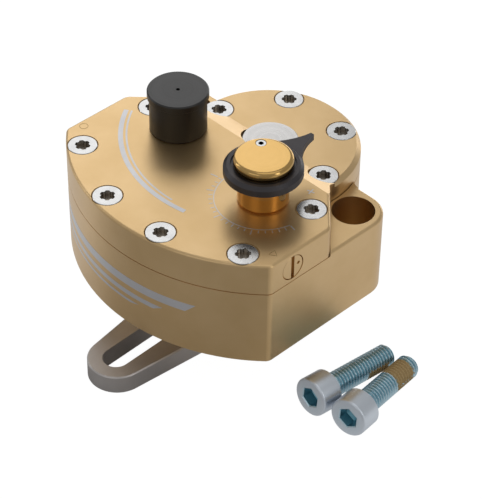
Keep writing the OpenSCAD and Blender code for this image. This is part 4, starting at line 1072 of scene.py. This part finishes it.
@dataclass
class EtchedMarks:
    """Generic laser-etched marks: a click scale, plain stripes and two small tool marks.

    Lengths are in metres and angles in degrees. Each arc on the cover or the nose is given by
    its first angle, its last angle, and its least and greatest radius or level.
    """

    cover_top: float = 0.040
    nose_radius: float = 0.066
    relief: float = 0.00003
    smooth_deg: float = 30.0
    arc_step: float = 1.5
    scale_radius: float = 0.0155
    scale_line: float = 0.0003
    scale_from: float = 168.0
    scale_to: float = 348.0
    ticks: int = 25
    ticks_per_long: int = 6
    tick_gap: float = 0.0003
    tick_short: float = 0.0012
    tick_long: float = 0.0022
    tick_width: float = 0.0003
    sign_size: float = 0.0026
    sign_width: float = 0.00039
    sign_turn: float = 12.0
    plus_place: tuple[float, float] = (0.0302, -0.0122)
    minus_place: tuple[float, float] = (0.0035, -0.0285)
    top_arcs: tuple[tuple[float, ...], ...] = ((212.0, 282.0, 0.0476, 0.0492),
                                               (212.0, 274.0, 0.0462, 0.0468))
    nose_arcs: tuple[tuple[float, ...], ...] = ((-44.0, 22.0, 0.0168, 0.0200),
                                                (-44.0, 12.0, 0.0128, 0.0146),
                                                (-44.0, 4.0, 0.0102, 0.0111))
    slant: float = 3.0
    slant_steps: int = 6
    slant_close: float = 0.98
    ring_place: tuple[float, float] = (-0.0440, -0.0415)
    ring_arc: tuple[float, ...] = (0.0, 358.0, 0.0013, 0.00145)
    triangle_place: tuple[float, float] = (0.0431, -0.0416)
    triangle_span: Range = (0.0, 359.0)
    triangle_steps: int = 61
    triangle_size: float = 0.0007
    triangle_line: float = 0.00018

    def arc(self, shell: Shell, surface: Surface, start: float, end: float, low: float,
            high: float) -> None:
        """Adds a stripe between two angles and two radii or levels, in steps of about arc_step.

        Args:
            shell: what the stripe is added to.
            surface: the surface that it lies on.
            start: first angle in degrees.
            end: last angle in degrees.
            low: least radius or level.
            high: greatest radius or level.
        """
        count = max(2, int(abs(end - start) / self.arc_step) + 2)
        u = np.radians(np.linspace(start, end, count))
        raised_patch(shell, surface, u, np.full(count, low), np.full(count, high), self.relief)

    def slanted_end(self, shell: Shell, surface: Surface, end: float, low: float,
                    high: float) -> None:
        """Adds a slanted end to a stripe: its lower edge rises evenly to nearly its upper one.

        Args:
            shell: what the end is added to.
            surface: the surface that it lies on.
            end: the stripe's last angle in degrees.
            low: the stripe's least level.
            high: the stripe's greatest level.
        """
        u = np.radians(np.linspace(end, end + self.slant, self.slant_steps))
        rise = (high - low) * np.linspace(0, self.slant_close, self.slant_steps)
        raised_patch(shell, surface, u, low + rise, np.full(self.slant_steps, high), self.relief)

    def bar(self, shell: Shell, plane: FlatPlane, along: Range, across: Range) -> None:
        """Adds a straight bar between two distances along a plane and two across it."""
        low, high = (np.full(2, edge) for edge in across)
        raised_patch(shell, plane, np.array(along), low, high, self.relief)

    def marked(self, shell: Shell, name: str, finish: Finish) -> None:
        """Makes a mark's piece and dresses it."""
        dress(shell.build(name, self.smooth_deg), finish)

    def scale(self) -> None:
        """Click scale round the base valve: a thin arc, ticks, and a plus and a minus sign."""
        shell = Shell()
        x, y, _ = VALVE_AXIS
        plane = TopPlane((x, y, self.cover_top))
        r = self.scale_radius
        self.arc(shell, plane, self.scale_from, self.scale_to, r - self.scale_line, r)
        half = math.degrees(self.tick_width / 2 / r)
        foot = r + self.tick_gap
        for k, angle in enumerate(np.linspace(self.scale_from, self.scale_to, self.ticks)):
            reach = self.tick_short if k % self.ticks_per_long else self.tick_long
            self.arc(shell, plane, angle - half, angle + half, foot, foot + reach)
        w, s = self.sign_width / 2, self.sign_size / 2
        plus, minus = (FlatPlane((*place, self.cover_top), self.sign_turn)
                       for place in (self.plus_place, self.minus_place))
        self.bar(shell, plus, (-s, s), (-w, w))
        self.bar(shell, plus, (-w, w), (-s, -w))
        self.bar(shell, plus, (-w, w), (w, s))
        self.bar(shell, minus, (-s, s), (-w, w))
        self.marked(shell, "click_scale", ETCHED)

    def top_stripes(self) -> None:
        """Two plain arcs on the cover, parallel to the nose."""
        shell = Shell()
        for arc in self.top_arcs:
            self.arc(shell, TopPlane((0.0, 0.0, self.cover_top)), *arc)
        self.marked(shell, "top_stripes", ETCHED)

    def nose_stripes(self) -> None:
        """Three plain stripes round the nose wall, each thinner and shorter than the one above."""
        shell = Shell()
        wall = NoseWall(self.nose_radius)
        for start, *rest in self.nose_arcs:
            self.arc(shell, wall, start, *rest)
            self.slanted_end(shell, wall, *rest)
        self.marked(shell, "nose_stripes", ETCHED)

    def tool_marks(self) -> None:
        """A small ring and a small triangle, faint on the gold near the cover's front corners.

        The triangle's radius is its size over the cosine of the angle off its nearest side.
        """
        shell = Shell()
        self.arc(shell, TopPlane((*self.ring_place, self.cover_top)), *self.ring_arc)
        corner = np.radians(np.linspace(*self.triangle_span, self.triangle_steps))
        edge = self.triangle_size / np.cos((corner % (2 * np.pi / 3)) - np.pi / 3)
        raised_patch(shell, TopPlane((*self.triangle_place, self.cover_top)), corner, edge,
                     edge + self.triangle_line, self.relief)
        self.marked(shell, "tool_marks", GHOST_LINE)

    def build(self) -> None:
        """Builds every mark."""
        for make in (self.scale, self.top_stripes, self.nose_stripes, self.tool_marks):
            make()


@dataclass(frozen=True)
class Softbox:
    """A rectangular lamp that looks at the damper. Places are in metres, level is its radiance."""

    name: str
    place: Point
    size: tuple[float, float]
    level: float
    aim: Point = (0.0, -0.02, 0.01)

    def build(self) -> None:
        """Makes the lamp, turned to its aim. Its power is its level times its area times pi."""
        lamp = bpy.data.lights.new(self.name, "AREA")
        lamp.shape = "RECTANGLE"
        lamp.size, lamp.size_y = self.size
        lamp.energy = self.level * self.size[0] * self.size[1] * math.pi
        made = bpy.data.objects.new(self.name, lamp)
        made.location = self.place
        made.rotation_mode = "QUATERNION"
        look = Vector(self.aim) - Vector(self.place)
        made.rotation_quaternion = look.to_track_quat("-Z", "Y")
        bpy.context.scene.collection.objects.link(made)
        LOG.info("lamp %s at level %.2f", self.name, self.level)


@dataclass
class Studio:
    """Pale floor, white surroundings and soft lamps.

    Metal mirrors the floor dark in front of the damper and paler farther back. It pales as the
    sum of y, gloss_spread times the bare size of x, and gloss_lean times x crosses gloss_band.
    """

    floor_z: float = -0.01982
    floor_half: float = 3.0
    floor_colour: Colour = (0.62, 0.62, 0.625)
    floor_white: float = 1.14
    floor_share: float = 0.86
    gloss_spread: float = 0.65
    gloss_lean: float = -0.4
    gloss_band: Range = (-0.06, 0.0)
    gloss_levels: Range = (0.0, 0.47)
    world_white: float = 1.0
    world_gloss: float = 0.55
    world_fill: float = 0.5
    lamps: list[Softbox] = field(default_factory=lambda: [
        Softbox("back_left_box", (-0.50, 0.24, 0.42), (0.48, 0.42), 1.15),
        Softbox("back_low_box", (-0.42, 0.80, 0.09), (0.95, 0.24), 2.1),
        Softbox("overhead_box", (0.10, 0.05, 0.75), (0.5, 0.5), 0.6),
        Softbox("right_strip", (0.60, 0.05, 0.30), (0.14, 0.45), 1.8),
        Softbox("left_strip", (-0.55, -0.30, 0.30), (0.10, 0.40), 1.8),
        Softbox("front_box", (0.15, -0.75, 0.45), (0.5, 0.3), 0.6),
    ])

    def paint(self) -> bpy.types.Material:
        """Makes the floor's material: diffuse for light, nearly white for the camera.

        The glow's share is floor_share for the camera. For a mirrored ray it goes from the
        first gloss level to the second over the gloss band.

        Returns:
            The material.
        """
        graph = MaterialGraph("pale_floor")
        x, y, _ = graph.split(graph.place)
        aside = graph.maths("MULTIPLY", graph.maths("ABSOLUTE", x), self.gloss_spread)
        aside = graph.maths("ADD", aside, graph.maths("MULTIPLY", x, self.gloss_lean))
        back = graph.ramp(graph.maths("ADD", aside, y), self.gloss_band, self.gloss_levels)
        path = graph.add("LightPath").outputs
        seen = graph.maths("MULTIPLY", path["Is Camera Ray"], self.floor_share)
        mirrored = graph.maths("MULTIPLY", path["Is Glossy Ray"], back)
        diffuse = graph.add("BsdfDiffuse")
        diffuse.inputs["Color"].default_value = (*self.floor_colour, 1.0)
        glow = graph.add("Emission")
        glow.inputs["Strength"].default_value = self.floor_white
        mix = graph.add("MixShader")
        parts = (graph.maths("ADD", seen, mirrored), diffuse.outputs[0], glow.outputs[0])
        for source, target in zip(parts, mix.inputs):
            graph.join(source, target)
        graph.close("OutputMaterial", mix.outputs[0])
        return graph.material

    def floor(self) -> None:
        """Makes the floor, one level square."""
        half = self.floor_half
        corners = [(-half, -half), (half, -half), (half, half), (-half, half)]
        mesh = bpy.data.meshes.new("floor")
        mesh.from_pydata([(x, y, self.floor_z) for x, y in corners], [], [(0, 1, 2, 3)])
        mesh.materials.append(self.paint())
        made = bpy.data.objects.new("floor", mesh)
        bpy.context.scene.collection.objects.link(made)

    def world(self) -> None:
        """Sets the surroundings: white for the camera and glass, grey for metal, soft fill.

        The strength is the fill, plus what white or gloss has over it on rays of that kind.
        """
        world = bpy.data.worlds.new("studio")
        world.use_nodes = True
        bpy.context.scene.world = world
        graph = Graph(world.node_tree)
        path = graph.add("LightPath").outputs
        seen = graph.maths("MAXIMUM", path["Is Camera Ray"], path["Is Transmission Ray"])
        white = graph.maths("MULTIPLY", seen, self.world_white - self.world_fill)
        gloss = graph.maths("MULTIPLY", path["Is Glossy Ray"], self.world_gloss - self.world_fill)
        level = graph.maths("ADD", graph.maths("ADD", white, gloss), self.world_fill)
        ground = graph.add("Background")
        graph.join(level, ground.inputs["Strength"])
        graph.close("OutputWorld", ground.outputs[0])

    def build(self) -> None:
        """Builds the floor, the world and every lamp."""
        self.floor()
        self.world()
        for lamp in self.lamps:
            lamp.build()


@dataclass
class PhotoCamera:
    """Camera fitted to the photograph: it looks from the damper's front right, from above."""

    image_height: float = 499.0
    focal_pixels: float = 2114.38
    sensor: float = 36.0
    azimuth_deg: float = 45.28
    elevation_deg: float = 40.754
    roll_deg: float = 0.742
    target: Point = (0.034976, -0.047342, 0.040)
    distance: float = 0.63919
    clip: Range = (0.01, 50.0)

    def build(self) -> None:
        """Makes the scene's camera.

        It stands back from its target by the distance, along the azimuth and the elevation. Its
        right and up are the level direction and the one across it, turned by the roll.
        """
        a, e, r = (math.radians(x) for x in (self.azimuth_deg, self.elevation_deg, self.roll_deg))
        back = Vector((math.sin(a) * math.cos(e), -math.cos(a) * math.cos(e), math.sin(e)))
        level = Vector((math.cos(a), math.sin(a), 0.0))
        upright = level.cross(-back)
        right = math.cos(r) * level + math.sin(r) * upright
        up = math.cos(r) * upright - math.sin(r) * level
        lens = bpy.data.cameras.new("photo_camera")
        lens.sensor_fit = "VERTICAL"
        lens.sensor_height = self.sensor
        lens.lens = self.focal_pixels * self.sensor / self.image_height
        lens.clip_start, lens.clip_end = self.clip
        made = bpy.data.objects.new("photo_camera", lens)
        turn = Matrix((right, up, back)).transposed().to_4x4()
        made.matrix_world = Matrix.Translation(Vector(self.target) + back * self.distance) @ turn
        bpy.context.scene.collection.objects.link(made)
        bpy.context.scene.camera = made


def clear_scene() -> None:
    """Removes the objects of Blender's start-up scene."""
    for old in list(bpy.data.objects):
        bpy.data.objects.remove(old)


def main() -> None:
    logging.basicConfig(level=logging.INFO, format="%(message)s")
    clear_scene()
    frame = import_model()
    PhotoCamera().build()
    PackedSolids().dress(frame["nodes"])
    LooseBolts().build()
    ReservoirSpring().build()
    EtchedMarks().build()
    Studio().build()
    bpy.context.scene.view_settings.view_transform = "Standard"
    bpy.context.view_layer.update()


if __name__ == "__main__":
    main()
